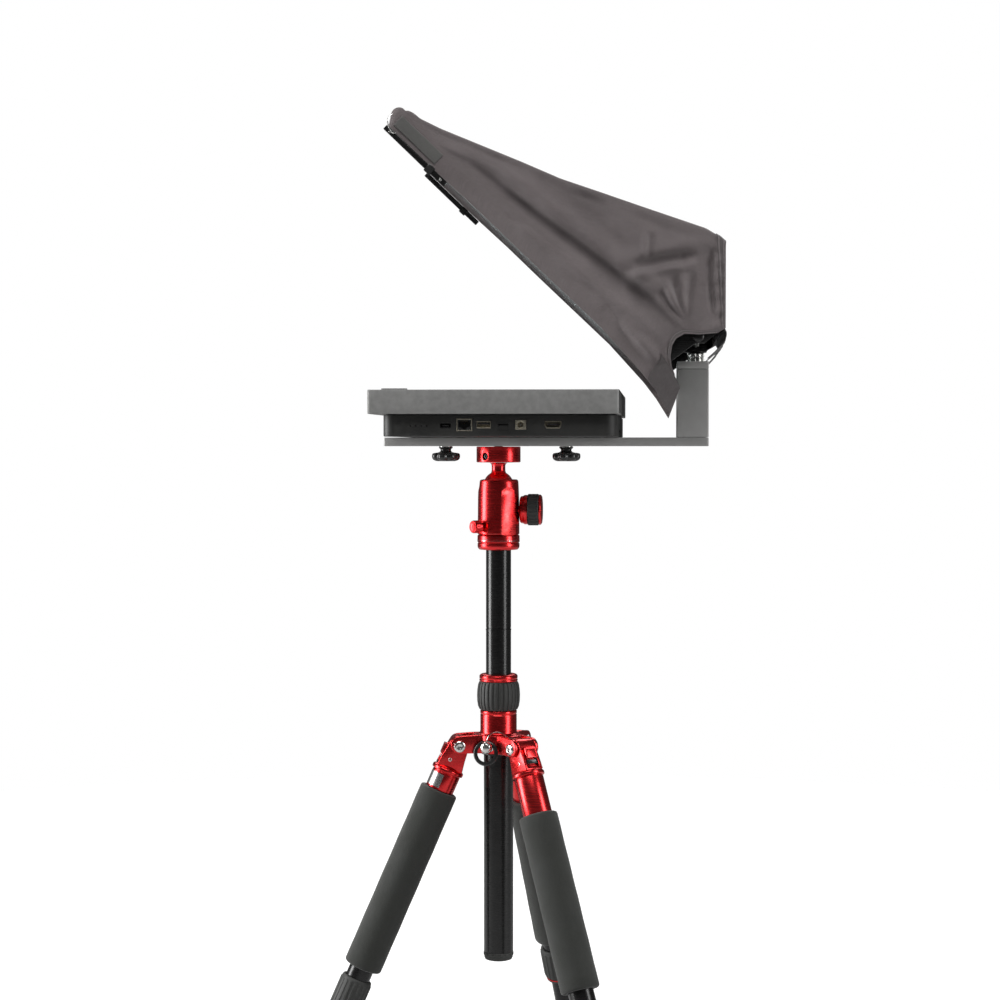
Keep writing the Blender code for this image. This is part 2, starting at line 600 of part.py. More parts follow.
def make_head(slide):
    pan_base = turned("pan_base", [
        (0, PAN_BASE_HEIGHT), (PAN_BASE_RADIUS - EDGE, PAN_BASE_HEIGHT), (PAN_BASE_RADIUS, PAN_BASE_HEIGHT - EDGE),
        (PAN_BASE_RADIUS, PAN_BASE_FOOT), (PAN_BASE_RADIUS - PAN_BASE_TAPER, 0), (0, 0)], "red_anodised", steps=32)
    place(Matrix.Translation((0, 0, PAN_BOTTOM)), pan_base)
    attach(slide, pan_base)
    pan = body("pan", (0, 0, HEAD_BOTTOM), slide)
    rim_angle = math.degrees(math.asin(BALL_BELOW_RIM / BALL_SEAT))
    seat = arc((0, BALL_Z), BALL_SEAT, -90, rim_angle, 10)
    seat[0] = (0, BALL_Z - BALL_SEAT)
    head = turned("head_body", seat + [
        (HEAD_RADIUS - HEAD_RIM_CHAMFER, HEAD_TOP), (HEAD_RADIUS, HEAD_TOP - HEAD_RIM_CHAMFER),
        (HEAD_RADIUS, HEAD_BOTTOM), (0, HEAD_BOTTOM)], "red_anodised", steps=36)
    attach(pan, head)
    knob_z = HEAD_BOTTOM + LOCK_KNOB_HEIGHT
    pan_z = HEAD_BOTTOM + PAN_KNOB_HEIGHT
    knob_frame = along((0, 0, knob_z), (1, 0, 0))
    pan_frame = along((0, 0, pan_z), radial(PAN_KNOB_AZIMUTH, 1))
    shaft_end = HEAD_RADIUS - KNOB_SHAFT_DEPTH
    knob_hole = disc("lock_knob_hole", LOCK_KNOB_SHAFT + RUN, shaft_end - GAP, HEAD_RADIUS + OVERCUT, steps=16)
    pan_hole = disc("pan_knob_hole", PAN_KNOB_SHAFT + RUN, shaft_end - GAP, HEAD_RADIUS + OVERCUT, steps=12)
    place(knob_frame, knob_hole)
    place(pan_frame, pan_hole)
    attach(pan, knob_hole, pan_hole)
    cut(head, knob_hole, pan_hole)
    start = HEAD_RADIUS + GAP
    flange = start + LOCK_KNOB_FLANGE
    grip_end = flange + LOCK_KNOB_GRIP
    cap = grip_end + LOCK_KNOB_CAP
    core = LOCK_KNOB_RADIUS - LOCK_KNOB_GRIP_DEPTH
    knob = turned("lock_knob", [
        (0, cap), (LOCK_KNOB_CAP_RADIUS, cap), (core, grip_end + EDGE), (core, flange),
        (LOCK_KNOB_RADIUS, flange), (LOCK_KNOB_RADIUS, start), (LOCK_KNOB_SHAFT, start),
        (LOCK_KNOB_SHAFT, shaft_end), (0, shaft_end)], "red_anodised")
    grip = tube("lock_knob_grip", LOCK_KNOB_RADIUS + LOCK_KNOB_GRIP_PROUD, core + GAP, flange + GAP, grip_end,
                "rubber")
    place(knob_frame, knob, grip)
    attach(body("lock_knob_turn", (HEAD_RADIUS, 0, knob_z), pan, knob_frame.to_3x3().to_4x4()), knob, grip)
    outside = [(PAN_KNOB_RADIUS - less, start + height) for less, height in PAN_KNOB_SHAPE]
    small = turned("pan_knob", [(0, outside[0][1])] + outside + [
        (PAN_KNOB_SHAFT, start), (PAN_KNOB_SHAFT, shaft_end), (0, shaft_end)], "red_anodised", steps=20)
    place(pan_frame, small)
    attach(body("pan_knob_turn", pan_frame @ Vector((0, 0, HEAD_RADIUS)), pan, pan_frame.to_3x3().to_4x4()), small)
    return pan


def make_ball(pan):
    """The ball turns about X in the head, and the stem on it about Y, both through its middle."""
    mesh = bpy.data.meshes.new("ball")
    bm = bmesh.new()
    bmesh.ops.create_uvsphere(bm, u_segments=24, v_segments=14, radius=BALL_RADIUS)
    bm.to_mesh(mesh)
    bm.free()
    ball = add_object("ball", mesh, "red_anodised")
    ball.location = (0, 0, BALL_Z)
    roll = body("ball_roll", (0, 0, BALL_Z), pan)
    attach(roll, ball)
    pitch = body("ball_pitch", (0, 0, BALL_Z), roll)
    side_angle = math.degrees(math.acos(NECK_RADIUS / BALL_SEAT))
    seat = arc((0, BALL_Z), BALL_SEAT, side_angle, 90, 4)
    seat[-1] = (0, BALL_Z + BALL_SEAT)
    stem_top = PLATFORM_BOTTOM - GAP
    stem = turned("stem", [(0, stem_top), (NECK_RADIUS + NECK_FLARE, stem_top),
                           (NECK_RADIUS, stem_top - NECK_FLARE)] + seat, "red_anodised", steps=24)
    low, high = PLATFORM_BOTTOM, PLATFORM_BOTTOM + PLATFORM_HEIGHT
    platform = turned("platform", [
        (0, high + STUD_IN_PLATE), (STUD_RADIUS, high + STUD_IN_PLATE), (STUD_RADIUS, high),
        (PLATFORM_RADIUS, high), (PLATFORM_RADIUS, low + EDGE), (PLATFORM_RADIUS - EDGE, low), (0, low)],
        "red_anodised", steps=36)
    attach(pitch, stem, platform)
    return pitch


# ---------------------------------------------------------------- plate and monitor

def thumb_places():
    return {"left": THUMB_MIDDLE - THUMB_SPACING / 2, "right": THUMB_MIDDLE + THUMB_SPACING / 2}


def make_plate(pitch):
    half = PLATE_WIDTH / 2
    plate = box("base_plate", (PLATE_LEFT, -half, PLATE_BOTTOM), (PLATE_RIGHT, half, PLATE_TOP), "grey_paint",
                PLATE_EDGE)
    stud_hole = disc("stud_hole", STUD_RADIUS + RUN, PLATE_BOTTOM - OVERCUT, PLATE_TOP + OVERCUT, steps=20)
    attach(pitch, plate, stud_hole)
    cut(plate, stud_hole)
    for side, x in thumb_places().items():
        radius = THUMB_SHAFT + RUN
        reach = SLOT_LENGTH / 2 - radius
        points = arc((x + reach, 0), radius, -90, 90, 6) + arc((x - reach, 0), radius, 90, 270, 6)
        slot = outline("slot_" + side, points, -PLATE_TOP - OVERCUT, -PLATE_BOTTOM + OVERCUT)
        place(Matrix.Rotation(-math.pi / 2, 4, "X"), slot)
        attach(pitch, slot)
        cut(plate, slot)


def make_thumb_knobs(pitch):
    top = PLATE_BOTTOM - GAP
    tip = CASE_BOTTOM + THUMB_BOSS - EDGE
    for side, x in thumb_places().items():
        knob = turned("thumb_knob_" + side, [
            (0, tip), (THUMB_SHAFT, tip), (THUMB_SHAFT, top), (THUMB_NECK_RADIUS, top),
            (THUMB_NECK_RADIUS, top - THUMB_NECK), (THUMB_RADIUS - EDGE, top - THUMB_NECK),
            (THUMB_RADIUS, top - THUMB_NECK - EDGE), (THUMB_RADIUS, top - THUMB_HEIGHT + THUMB_TAPER),
            (THUMB_RADIUS - THUMB_TAPER, top - THUMB_HEIGHT), (0, top - THUMB_HEIGHT)], "dark_plastic", steps=24)
        place(Matrix.Translation((x, 0, 0)), knob)
        attach(body("thumb_turn_" + side, (x, 0, top), pitch), knob)


def monitor_box(inset_left, inset_right, inset_side):
    left = MONITOR_LEFT + inset_left
    right = MONITOR_LEFT + MONITOR_DEPTH - inset_right
    side = MONITOR_WIDTH / 2 - inset_side
    return left, right, side


def make_case(pitch):
    """Lower tray of the monitor, with bosses for the thumb screws and holes for the sockets."""
    left, right, side = monitor_box(CASE_LEFT_INSET, CASE_RIGHT_INSET, CASE_SIDE_INSET)
    top = CASE_BOTTOM + CASE_HEIGHT
    points = [(left + CASE_CHAMFER, CASE_BOTTOM), (right, CASE_BOTTOM), (right, top), (left, top),
              (left, CASE_BOTTOM + CASE_CHAMFER)]
    case = outline("monitor_case", points, -side, side, "dark_plastic")
    floor = CASE_BOTTOM + CASE_WALL
    hollow = box("case_hollow", (left + CASE_CHAMFER, -side + CASE_WALL, floor),
                 (right - CASE_WALL, side - CASE_WALL, top + OVERCUT))
    attach(pitch, case, hollow)
    cut(case, hollow)
    board_left, board_low = THUMB_MIDDLE - BOARD_DEPTH / 2, -side + CASE_WALL + PORT_DEPTH
    first_y = board_low + BOARD_POST_INSET
    for i, x in enumerate((board_left + BOARD_POST_INSET, board_left + BOARD_DEPTH - BOARD_POST_INSET)):
        for j, y in enumerate((first_y, first_y + BOARD_POST_SPACING)):
            post = disc(f"board_post_{i}{j}", BOARD_POST_RADIUS, CASE_BOTTOM + CASE_WALL / 2,
                        CASE_BOTTOM + BOARD_HEIGHT, steps=10)
            place(Matrix.Translation((x, y, 0)), post)
            attach(pitch, post)
            fuse(case, post)
    for label, x in thumb_places().items():
        boss = disc("boss_" + label, THUMB_BOSS_RADIUS, CASE_BOTTOM + CASE_WALL / 2,
                    CASE_BOTTOM + THUMB_BOSS + THUMB_BOSS_END, steps=16)
        hole = disc("boss_hole_" + label, THUMB_SHAFT + RUN, CASE_BOTTOM - OVERCUT, CASE_BOTTOM + THUMB_BOSS,
                    steps=24)
        place(Matrix.Translation((x, 0, 0)), boss, hole)
        attach(pitch, boss, hole)
        fuse(case, boss)
        cut(case, hole)
    for name, (x, width, height) in PORTS.items():
        z = PLATE_TOP + PORT_HEIGHT
        hole = box(name + "_hole", (x - width / 2 - GAP, -side - OVERCUT, z - height / 2 - GAP),
                   (x + width / 2 + GAP, -side + CASE_WALL + OVERCUT, z + height / 2 + GAP))
        attach(pitch, hole)
        cut(case, hole)
    board = box("main_board", (board_left, board_low, CASE_BOTTOM + BOARD_HEIGHT + GAP),
                (board_left + BOARD_DEPTH, -THUMB_BOSS_RADIUS - BOARD_TO_BOSS, CASE_BOTTOM + BOARD_HEIGHT + GAP + BOARD_THICK),
                "board")
    attach(pitch, board)


def make_ports(pitch):
    """Sockets whose mouths are flush with the case's near wall."""
    _, _, side = monitor_box(0, 0, CASE_SIDE_INSET)
    z = PLATE_TOP + PORT_HEIGHT
    for name, (x, width, height) in PORTS.items():
        shell = box(name, (x - width / 2, -side, z - height / 2), (x + width / 2, -side + PORT_DEPTH, z + height / 2),
                    "steel" if name != "port_dc" else "dark_plastic")
        end = -side + PORT_SOCKET_DEPTH
        if name == "port_dc":
            mouth = disc(name + "_mouth", height / 2 - PORT_WALL, 0, PORT_SOCKET_DEPTH + OVERCUT, steps=20)
            place(Matrix.Translation((x, end, z)) @ Matrix.Rotation(math.pi / 2, 4, "X"), mouth)
        else:
            mouth = box(name + "_mouth", (x - width / 2 + PORT_WALL, -side - OVERCUT, z - height / 2 + PORT_WALL),
                        (x + width / 2 - PORT_WALL, end, z + height / 2 - PORT_WALL))
        attach(pitch, shell, mouth)
        cut(shell, mouth)


def make_bezel(pitch):
    left, right, side = monitor_box(0, 0, 0)
    bezel = box("monitor_bezel", (left, -side, BEZEL_BOTTOM), (right, side, BEZEL_TOP), "bezel_plastic", BEZEL_EDGE)
    middle = (left + right) / 2
    hollow = box("bezel_hollow", (left + BEZEL_WALL, -side + BEZEL_WALL, BEZEL_BOTTOM - OVERCUT),
                 (right - BEZEL_WALL, side - BEZEL_WALL, BEZEL_TOP - BEZEL_WALL))
    window = box("screen_window", (middle - SCREEN_DEPTH / 2, -SCREEN_WIDTH / 2, BEZEL_BOTTOM),
                 (middle + SCREEN_DEPTH / 2, SCREEN_WIDTH / 2, BEZEL_TOP + OVERCUT))
    attach(pitch, bezel, hollow, window)
    cut(bezel, hollow, window)
    reach_x, reach_y = SCREEN_DEPTH / 2 + PANEL_LIP, SCREEN_WIDTH / 2 + PANEL_LIP
    panel = box("lcd_panel", (middle - reach_x, -reach_y, PANEL_TOP - PANEL_THICK),
                (middle + reach_x, reach_y, PANEL_TOP), "screen")
    attach(pitch, panel)


# ---------------------------------------------------------------- upright and glass

def make_upright(pitch):
    left, half = PLATE_RIGHT - UPRIGHT_DEPTH, PLATE_WIDTH / 2
    upright = box("upright", (left, -half, UPRIGHT_BOTTOM), (PLATE_RIGHT, half, UPRIGHT_BOTTOM + UPRIGHT_HEIGHT),
                  "grey_paint", PLATE_EDGE)
    hollow = box("upright_hollow", (left + UPRIGHT_WALL, UPRIGHT_WALL - half, UPRIGHT_BOTTOM - OVERCUT),
                 (PLATE_RIGHT - UPRIGHT_WALL, half - UPRIGHT_WALL, CAP_BOTTOM + OVERCUT))
    cap = box("upright_cap", (left, -half, CAP_BOTTOM), (PLATE_RIGHT, half, CAP_TOP), "grey_paint", PLATE_EDGE)
    post_hole = disc("post_hole", POST_RADIUS + RUN, CAP_BOTTOM - OVERCUT, CAP_TOP + OVERCUT, steps=20)
    post = disc("post", POST_RADIUS, CAP_BOTTOM, BLOCK_BOTTOM + POST_IN_BLOCK, "black_tube", steps=20)
    nut = tube("knurled_nut", NUT_RADIUS, POST_RADIUS + RUN, CAP_TOP + GAP, BLOCK_BOTTOM - GAP, "steel", 24)
    block = box("tilt_block", (PIVOT_X - BLOCK_DEPTH / 2, -BLOCK_WIDTH / 2, BLOCK_BOTTOM),
                (PIVOT_X + BLOCK_DEPTH / 2, BLOCK_WIDTH / 2, BLOCK_BOTTOM + BLOCK_HEIGHT), "black_tube", BLOCK_EDGE)
    socket = disc("post_socket", POST_RADIUS + RUN, BLOCK_BOTTOM - OVERCUT, BLOCK_BOTTOM + POST_IN_BLOCK + GAP,
                  steps=20)
    bore = disc("pivot_bore", PIVOT_ROD_RADIUS + RUN, -BLOCK_WIDTH, BLOCK_WIDTH, steps=20)
    place(Matrix.Translation((PIVOT_X, 0, 0)), post_hole, post, nut, socket)
    place(Matrix.Translation((PIVOT_X, 0, PIVOT_Z)) @ Matrix.Rotation(math.pi / 2, 4, "X"), bore)
    attach(pitch, upright, hollow, cap, post_hole, post, block, socket, bore)
    cut(upright, hollow)
    cut(cap, post_hole)
    cut(block, socket, bore)
    attach(body("nut_turn", (PIVOT_X, 0, CAP_TOP), pitch), nut)


def slope_frame():
    """X runs up the slope, Y across the hood and Z out of the glass towards the hood."""
    across = SLOPE_OUT.cross(SLOPE_ALONG)
    turn = Matrix((SLOPE_ALONG, across, SLOPE_OUT)).transposed().to_4x4()
    return Matrix.Translation(SLOPE_START) @ turn


def on_slope(along_slope, out):
    point = SLOPE_START + SLOPE_ALONG * along_slope + SLOPE_OUT * out
    return point.x, point.z


def make_glass(tilt):
    frame = slope_frame()
    half = FRAME_WIDTH / 2
    low, high = FRAME_RISE, FRAME_RISE + FRAME_THICK
    holder = box("glass_frame", (0, -half, low), (FRAME_LENGTH, half, high), "black_tube", EDGE)
    window = box("glass_window", (FRAME_BAR, FRAME_BAR - half, low - OVERCUT),
                 (FRAME_LENGTH - FRAME_BAR, half - FRAME_BAR, high + OVERCUT))
    lap = FRAME_BAR - GLASS_LAP
    rebate = box("glass_rebate", (lap - GAP, lap - GAP - half, low - OVERCUT),
                 (FRAME_LENGTH - lap + GAP, half - lap + GAP, low + GLASS_THICK + GAP))
    glass = box("glass", (lap, lap - half, low), (FRAME_LENGTH - lap, half - lap, low + GLASS_THICK), "glass")
    place(frame, holder, window, rebate, glass)
    attach(tilt, holder, window, rebate, glass)
    cut(holder, window, rebate)
    for side, sign in (("near", 1), ("far", -1)):
        inner, outer = HOOD_HALF_WIDTH + GAP, HOOD_HALF_WIDTH + GAP + CLAMP_THICK
        low_y, high_y = sorted((sign * inner, sign * outer))
        clamp = box("clamp_" + side, (FRAME_LENGTH - CLAMP_LENGTH, low_y, -CLAMP_HEIGHT / 2),
                    (FRAME_LENGTH, high_y, CLAMP_HEIGHT / 2), "black_tube", EDGE)
        place(frame, clamp)
        attach(tilt, clamp)


def make_arms(tilt):
    """The pivot rod, and an angled arm at each end that holds the glass frame and the rear panel."""
    rail = (FRAME_WIDTH - FRAME_BAR + ARM_THICK) / 2
    half = ARM_WIDTH / 2
    rod = disc("pivot_rod", PIVOT_ROD_RADIUS, -rail, rail, "steel", steps=20)
    place(Matrix.Translation((PIVOT_X, 0, PIVOT_Z)) @ Matrix.Rotation(math.pi / 2, 4, "X"), rod)
    attach(tilt, rod)
    frame_top = FRAME_RISE + FRAME_THICK + GAP
    foot_low = on_slope(ARM_ON_FRAME - ARM_WIDTH, frame_top)
    foot_high = on_slope(ARM_ON_FRAME + ARM_WIDTH, frame_top)
    back = REAR_X - REAR_PANEL_THICK - REAR_PANEL_SET_IN - GAP
    points = [foot_low, (PIVOT_X - ARM_BEND, PIVOT_Z - half), (PIVOT_X + half, PIVOT_Z - half),
              (back, PIVOT_Z + half), (back, PIVOT_Z + ARM_RISE), (back - ARM_WIDTH, PIVOT_Z + ARM_RISE),
              (PIVOT_X + half, PIVOT_Z + 2 * half), (PIVOT_X - half, PIVOT_Z + half), foot_high]
    for side, sign in (("near", -1), ("far", 1)):
        low_y, high_y = sorted((sign * (rail - ARM_THICK), sign * rail))
        arm = outline("arm_" + side, points, low_y, high_y, "black_tube")
        hole = disc("arm_hole_" + side, PIVOT_ROD_RADIUS + RUN, -rail - OVERCUT, rail + OVERCUT, steps=20)
        place(Matrix.Translation((PIVOT_X, 0, PIVOT_Z)) @ Matrix.Rotation(math.pi / 2, 4, "X"), hole)
        attach(tilt, arm, hole)
        cut(arm, hole)


def hood_roof(start, drop):
    """The roof line from start, on the fabric round the top rod, to the rear, lowered by drop."""
    end = Vector((REAR_X, PLATE_BOTTOM + REAR_TOP - drop))
    start = Vector(start)
    points = [start.lerp(end, share) + Vector((0, rise)) for share, rise in ROOF_BENDS]
    return [tuple(point) for point in points] + [tuple(end)]


def make_hood(tilt):
    """Fabric shell: two side walls and a roof, open at the glass, underneath and at the rear."""
    base = PLATE_BOTTOM
    rod_middle = on_slope(FRAME_LENGTH, FRAME_RISE + FRAME_THICK + GAP + TOP_ROD_RADIUS)
    top_rod = disc("hood_rod", TOP_ROD_RADIUS, GAP + HOOD_WALL - HOOD_HALF_WIDTH,
                   HOOD_HALF_WIDTH - HOOD_WALL - GAP, "black_tube", steps=20)
    place(Matrix.Translation((rod_middle[0], 0, rod_middle[1])) @ Matrix.Rotation(math.pi / 2, 4, "X"), top_rod)
    wrap = arc(rod_middle, HOOD_WRAP, WRAP_START, WRAP_END, 6)
    tip = Vector((SLOPE_X + TIP_RIGHT, base + TIP_HEIGHT))
    rear = Vector((REAR_X, base + REAR_LOW))
    arch = [tuple(rear), tuple(rear + Vector(ARCH_FROM_REAR))]
    arch += [tuple(tip + Vector(step)) for step in ARCH_FROM_TIP]
    points = [on_slope(FRAME_LENGTH, HOOD_FRONT_OUT)] + wrap + hood_roof(wrap[-1], 0) + arch + [
        tuple(tip), on_slope(EDGE, 0), on_slope(HOOD_FRONT_BEND, HOOD_FRONT_OUT)]
    hood = outline("hood", points, -HOOD_HALF_WIDTH, HOOD_HALF_WIDTH, "fabric")
    inner_wrap = arc(rod_middle, HOOD_WRAP - HOOD_WALL, WRAP_START, WRAP_END, 6)
    far_left, far_right, far_low = rod_middle[0] - BEYOND, REAR_X + BEYOND, base - BEYOND
    inner = [(far_left, rod_middle[1])] + inner_wrap + hood_roof(inner_wrap[-1], HOOD_WALL) + [
        (far_right, base + REAR_TOP - HOOD_WALL), (far_right, far_low), (far_left, far_low)]
    hollow = outline("hood_hollow", inner, HOOD_WALL - HOOD_HALF_WIDTH, HOOD_HALF_WIDTH - HOOD_WALL)
    attach(tilt, top_rod, hood, hollow)
    cut(hood, hollow)
    back = REAR_X - REAR_PANEL_SET_IN
    half = HOOD_HALF_WIDTH - HOOD_WALL - GAP
    panel = box("rear_panel", (back - REAR_PANEL_THICK, -half, base + REAR_PANEL_BOTTOM),
                (back, half, base + REAR_PANEL_TOP), "dark_plastic")
    middle = base + (REAR_PANEL_BOTTOM + REAR_PANEL_TOP) / 2
    opening = box("lens_cut", (back - OVERCUT, -LENS_WIDTH / 2, middle - LENS_HEIGHT / 2),
                  (back + OVERCUT, LENS_WIDTH / 2, middle + LENS_HEIGHT / 2))
    attach(tilt, panel, opening)
    cut(panel, opening)


# ---------------------------------------------------------------- the whole object

def stand_on_origin(root):
    """Moves the root so that the parts' box stands on Z = 0, centred on the origin."""
    bpy.context.view_layer.update()
    graph = bpy.context.evaluated_depsgraph_get()
    corners = []
    for obj in PARTS.objects:
        if obj.type == "MESH":
            shown = obj.evaluated_get(graph)
            corners += [shown.matrix_world @ vertex.co for vertex in shown.data.vertices]
    for axis in (0, 1):
        values = [corner[axis] for corner in corners]
        root.location[axis] -= (min(values) + max(values)) / 2


def main():
    root = body("crown_body", (0, 0, 0))
    make_crown(root)
    for side, azimuth in LEG_AZIMUTHS.items():
        make_leg(side, azimuth, root)
        make_pin(side, azimuth, root)
    slide = make_column(root)
    pitch = make_ball(make_head(slide))
    make_plate(pitch)
    make_thumb_knobs(pitch)
    make_case(pitch)
    make_ports(pitch)
    make_bezel(pitch)
    make_upright(pitch)
    tilt = body("hood_tilt", (PIVOT_X, 0, PIVOT_Z), pitch)
    make_glass(tilt)
    make_arms(tilt)
    make_hood(tilt)
    stand_on_origin(root)


main()
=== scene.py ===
"""The looks of a teleprompter on a travel tripod: hood, glass, monitor, ball head and legs.

Every piece is placed from the CAD frame's boxes and joints. +X is the camera side, -Y the near side.
"""
import json
import math

import bmesh
import bpy
import numpy as np
from mathutils import Matrix, Vector


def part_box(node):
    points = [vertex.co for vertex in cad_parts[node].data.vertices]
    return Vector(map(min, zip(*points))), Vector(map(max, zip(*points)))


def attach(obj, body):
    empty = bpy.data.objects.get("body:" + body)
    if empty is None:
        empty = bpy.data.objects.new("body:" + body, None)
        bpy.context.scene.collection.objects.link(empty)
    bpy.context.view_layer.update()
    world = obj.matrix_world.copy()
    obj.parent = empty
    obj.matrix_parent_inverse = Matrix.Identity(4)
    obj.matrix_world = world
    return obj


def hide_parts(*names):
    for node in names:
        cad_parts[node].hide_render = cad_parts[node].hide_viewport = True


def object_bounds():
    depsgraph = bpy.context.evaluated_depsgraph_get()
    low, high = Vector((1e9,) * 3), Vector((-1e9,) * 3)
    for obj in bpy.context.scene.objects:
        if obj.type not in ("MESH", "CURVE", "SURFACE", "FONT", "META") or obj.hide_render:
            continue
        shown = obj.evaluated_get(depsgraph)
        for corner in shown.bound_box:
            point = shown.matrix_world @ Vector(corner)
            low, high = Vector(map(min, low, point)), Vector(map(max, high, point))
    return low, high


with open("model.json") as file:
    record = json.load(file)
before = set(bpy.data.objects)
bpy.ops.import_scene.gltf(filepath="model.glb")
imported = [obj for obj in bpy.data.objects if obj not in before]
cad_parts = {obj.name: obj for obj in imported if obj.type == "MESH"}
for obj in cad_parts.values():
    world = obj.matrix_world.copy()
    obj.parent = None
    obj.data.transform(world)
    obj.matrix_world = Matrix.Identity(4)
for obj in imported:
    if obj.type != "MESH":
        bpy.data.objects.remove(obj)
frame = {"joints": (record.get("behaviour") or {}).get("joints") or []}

MM = 0.001
cad_low, cad_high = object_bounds()
JOINTS = {joint["name"]: joint for joint in frame["joints"]}
COLUMN = Vector(JOINTS["pan"]["pos_m"])
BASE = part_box("base_plate")[0].z
BALL = Vector(JOINTS["ball_roll"]["pos_m"])
HINGE_Z = JOINTS["leg_left_fold"]["pos_m"][2]
PIVOT = Vector(JOINTS["hood_tilt"]["pos_m"])
GLASS_SLOPE = math.radians(44)
FRAME_BACK = 6 * MM       # from the hood's front line to the glass frame's lower face
FRAME_FACE = 12 * MM      # and to its upper face

slope_low, slope_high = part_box("glass_frame")
SLOPE_UP = Vector((-math.cos(GLASS_SLOPE), 0, math.sin(GLASS_SLOPE)))
SLOPE_OUT = Vector((math.sin(GLASS_SLOPE), 0, math.cos(GLASS_SLOPE)))
SLOPE_FOOT = Vector((slope_high.x - FRAME_FACE * SLOPE_OUT.x, COLUMN.y,
                     slope_low.z - FRAME_BACK * SLOPE_OUT.z))
FRAME_LENGTH = 374 * MM


# ---------------------------------------------------------------- bench tools

def set_down():
    """Back to object mode with nothing selected."""
    if bpy.context.mode != "OBJECT":
        bpy.ops.object.mode_set(mode="OBJECT")
    bpy.ops.object.select_all(action="DESELECT")


def take(obj):
    set_down()
    obj.select_set(True)
    bpy.context.view_layer.objects.active = obj


def open_up(obj, kind="FACE"):
    """Edit mode on one object with nothing selected."""
    take(obj)
    bpy.ops.object.mode_set(mode="EDIT")
    bpy.ops.mesh.select_mode(type=kind)
    bpy.ops.mesh.select_all(action="DESELECT")


def new_piece(name):
    obj = bpy.context.object
    obj.name = name
    obj.data.name = name
    return obj


def pick_faces(obj, test):
    """Selects the faces whose middle and normal pass the test."""
    mesh = bmesh.from_edit_mesh(obj.data)
    for face in mesh.faces:
        if test(face.calc_center_median(), face.normal):
            face.select_set(True)
    bmesh.update_edit_mesh(obj.data)


def pick_edges(obj, test):
    """Selects the edges whose two ends pass the test."""
    mesh = bmesh.from_edit_mesh(obj.data)
    for edge in mesh.edges:
        if test(edge.verts[0].co, edge.verts[1].co):
            edge.select_set(True)
    bmesh.update_edit_mesh(obj.data)


def turned(name, profile, sides=48, closed=False):
    """A ring at the profile's first (radius, height), drawn out along the rest of it, in millimetres."""
    set_down()
    radius, height = profile[0]
    bpy.ops.mesh.primitive_circle_add(vertices=sides, radius=radius * MM, location=(0, 0, height * MM))
    obj = new_piece(name)
    bpy.ops.object.transform_apply(location=True, rotation=False, scale=False)
    bpy.ops.object.mode_set(mode="EDIT")
    bpy.ops.mesh.select_mode(type="VERT")
    bpy.ops.mesh.select_all(action="SELECT")
    for next_radius, next_height in profile[1:] + (profile[:1] if closed else []):
        rise = (next_height - height) * MM
        bpy.ops.mesh.extrude_region_move(TRANSFORM_OT_translate={"value": (0, 0, rise)})
        factor = next_radius / radius
        bpy.ops.transform.resize(value=(factor, factor, 1), center_override=(0, 0, next_height * MM))
        radius, height = next_radius, next_height
    bpy.ops.mesh.select_all(action="SELECT")
    bpy.ops.mesh.remove_doubles(threshold=0.005 * MM)
    if not closed:
        bpy.ops.mesh.fill_holes(sides=0)
    bpy.ops.mesh.select_all(action="SELECT")
    bpy.ops.mesh.normals_make_consistent(inside=False)
    set_down()
    return obj


def fluted(obj, sides, low, high, every, width, depth, taper=0.15):
    """Raises (or sinks) bands of the side faces between two heights, width faces in every few."""
    open_up(obj)

    def on_a_rib(middle, normal):
        step = int(math.atan2(middle.y, middle.x) % math.tau / math.tau * sides)
        return low * MM < middle.z < high * MM and abs(normal.z) < 0.7 and step % every < width

    pick_faces(obj, on_a_rib)
    bpy.ops.mesh.inset(thickness=taper * MM, depth=depth * MM)
    set_down()
    return obj


def lobed(obj, low, high, lobes, depth):
    """Draws the rim in between its lobes."""
    for vertex in obj.data.vertices:
        reach = math.hypot(vertex.co.x, vertex.co.y)
        if low * MM < vertex.co.z < high * MM and reach > 0.011:
            turn = math.atan2(vertex.co.y, vertex.co.x)
            share = 1 - depth * MM / reach * (0.5 - 0.5 * math.cos(turn * lobes)) ** 2
            vertex.co.x *= share
            vertex.co.y *= share
    return obj


def block(name, low, high):
    """A block between two corners, in millimetres."""
    set_down()
    low, high = Vector(low) * MM, Vector(high) * MM
    bpy.ops.mesh.primitive_cube_add(size=1, location=(low + high) / 2)
    obj = new_piece(name)
    obj.scale = high - low
    bpy.ops.object.transform_apply(location=True, rotation=False, scale=True)
    set_down()
    return obj


def outlined(name, points, low_y, high_y):
    """A flat outline of (x, z) points in millimetres, drawn out across Y."""
    set_down()
    bpy.ops.mesh.primitive_circle_add(vertices=len(points), radius=1, fill_type="NGON")
    obj = new_piece(name)
    bpy.ops.object.mode_set(mode="EDIT")
    bpy.ops.mesh.select_mode(type="VERT")
    mesh = bmesh.from_edit_mesh(obj.data)
    mesh.verts.ensure_lookup_table()
    for vertex, (x, z) in zip(mesh.verts, points):
        vertex.co = Vector((x, low_y, z)) * MM
    bmesh.update_edit_mesh(obj.data)
    bpy.ops.mesh.select_all(action="SELECT")
    bpy.ops.mesh.extrude_region_move(TRANSFORM_OT_translate={"value": (0, (high_y - low_y) * MM, 0)})
    bpy.ops.mesh.select_all(action="SELECT")
    bpy.ops.mesh.normals_make_consistent(inside=False)
    set_down()
    return obj


def arc(middle, radius, start, end, steps):
    """Points on a circle round middle, from start to end in degrees."""
    angles = [math.radians(start + (end - start) * i / steps) for i in range(steps + 1)]
    return [(middle[0] + radius * math.cos(a), middle[1] + radius * math.sin(a)) for a in angles]


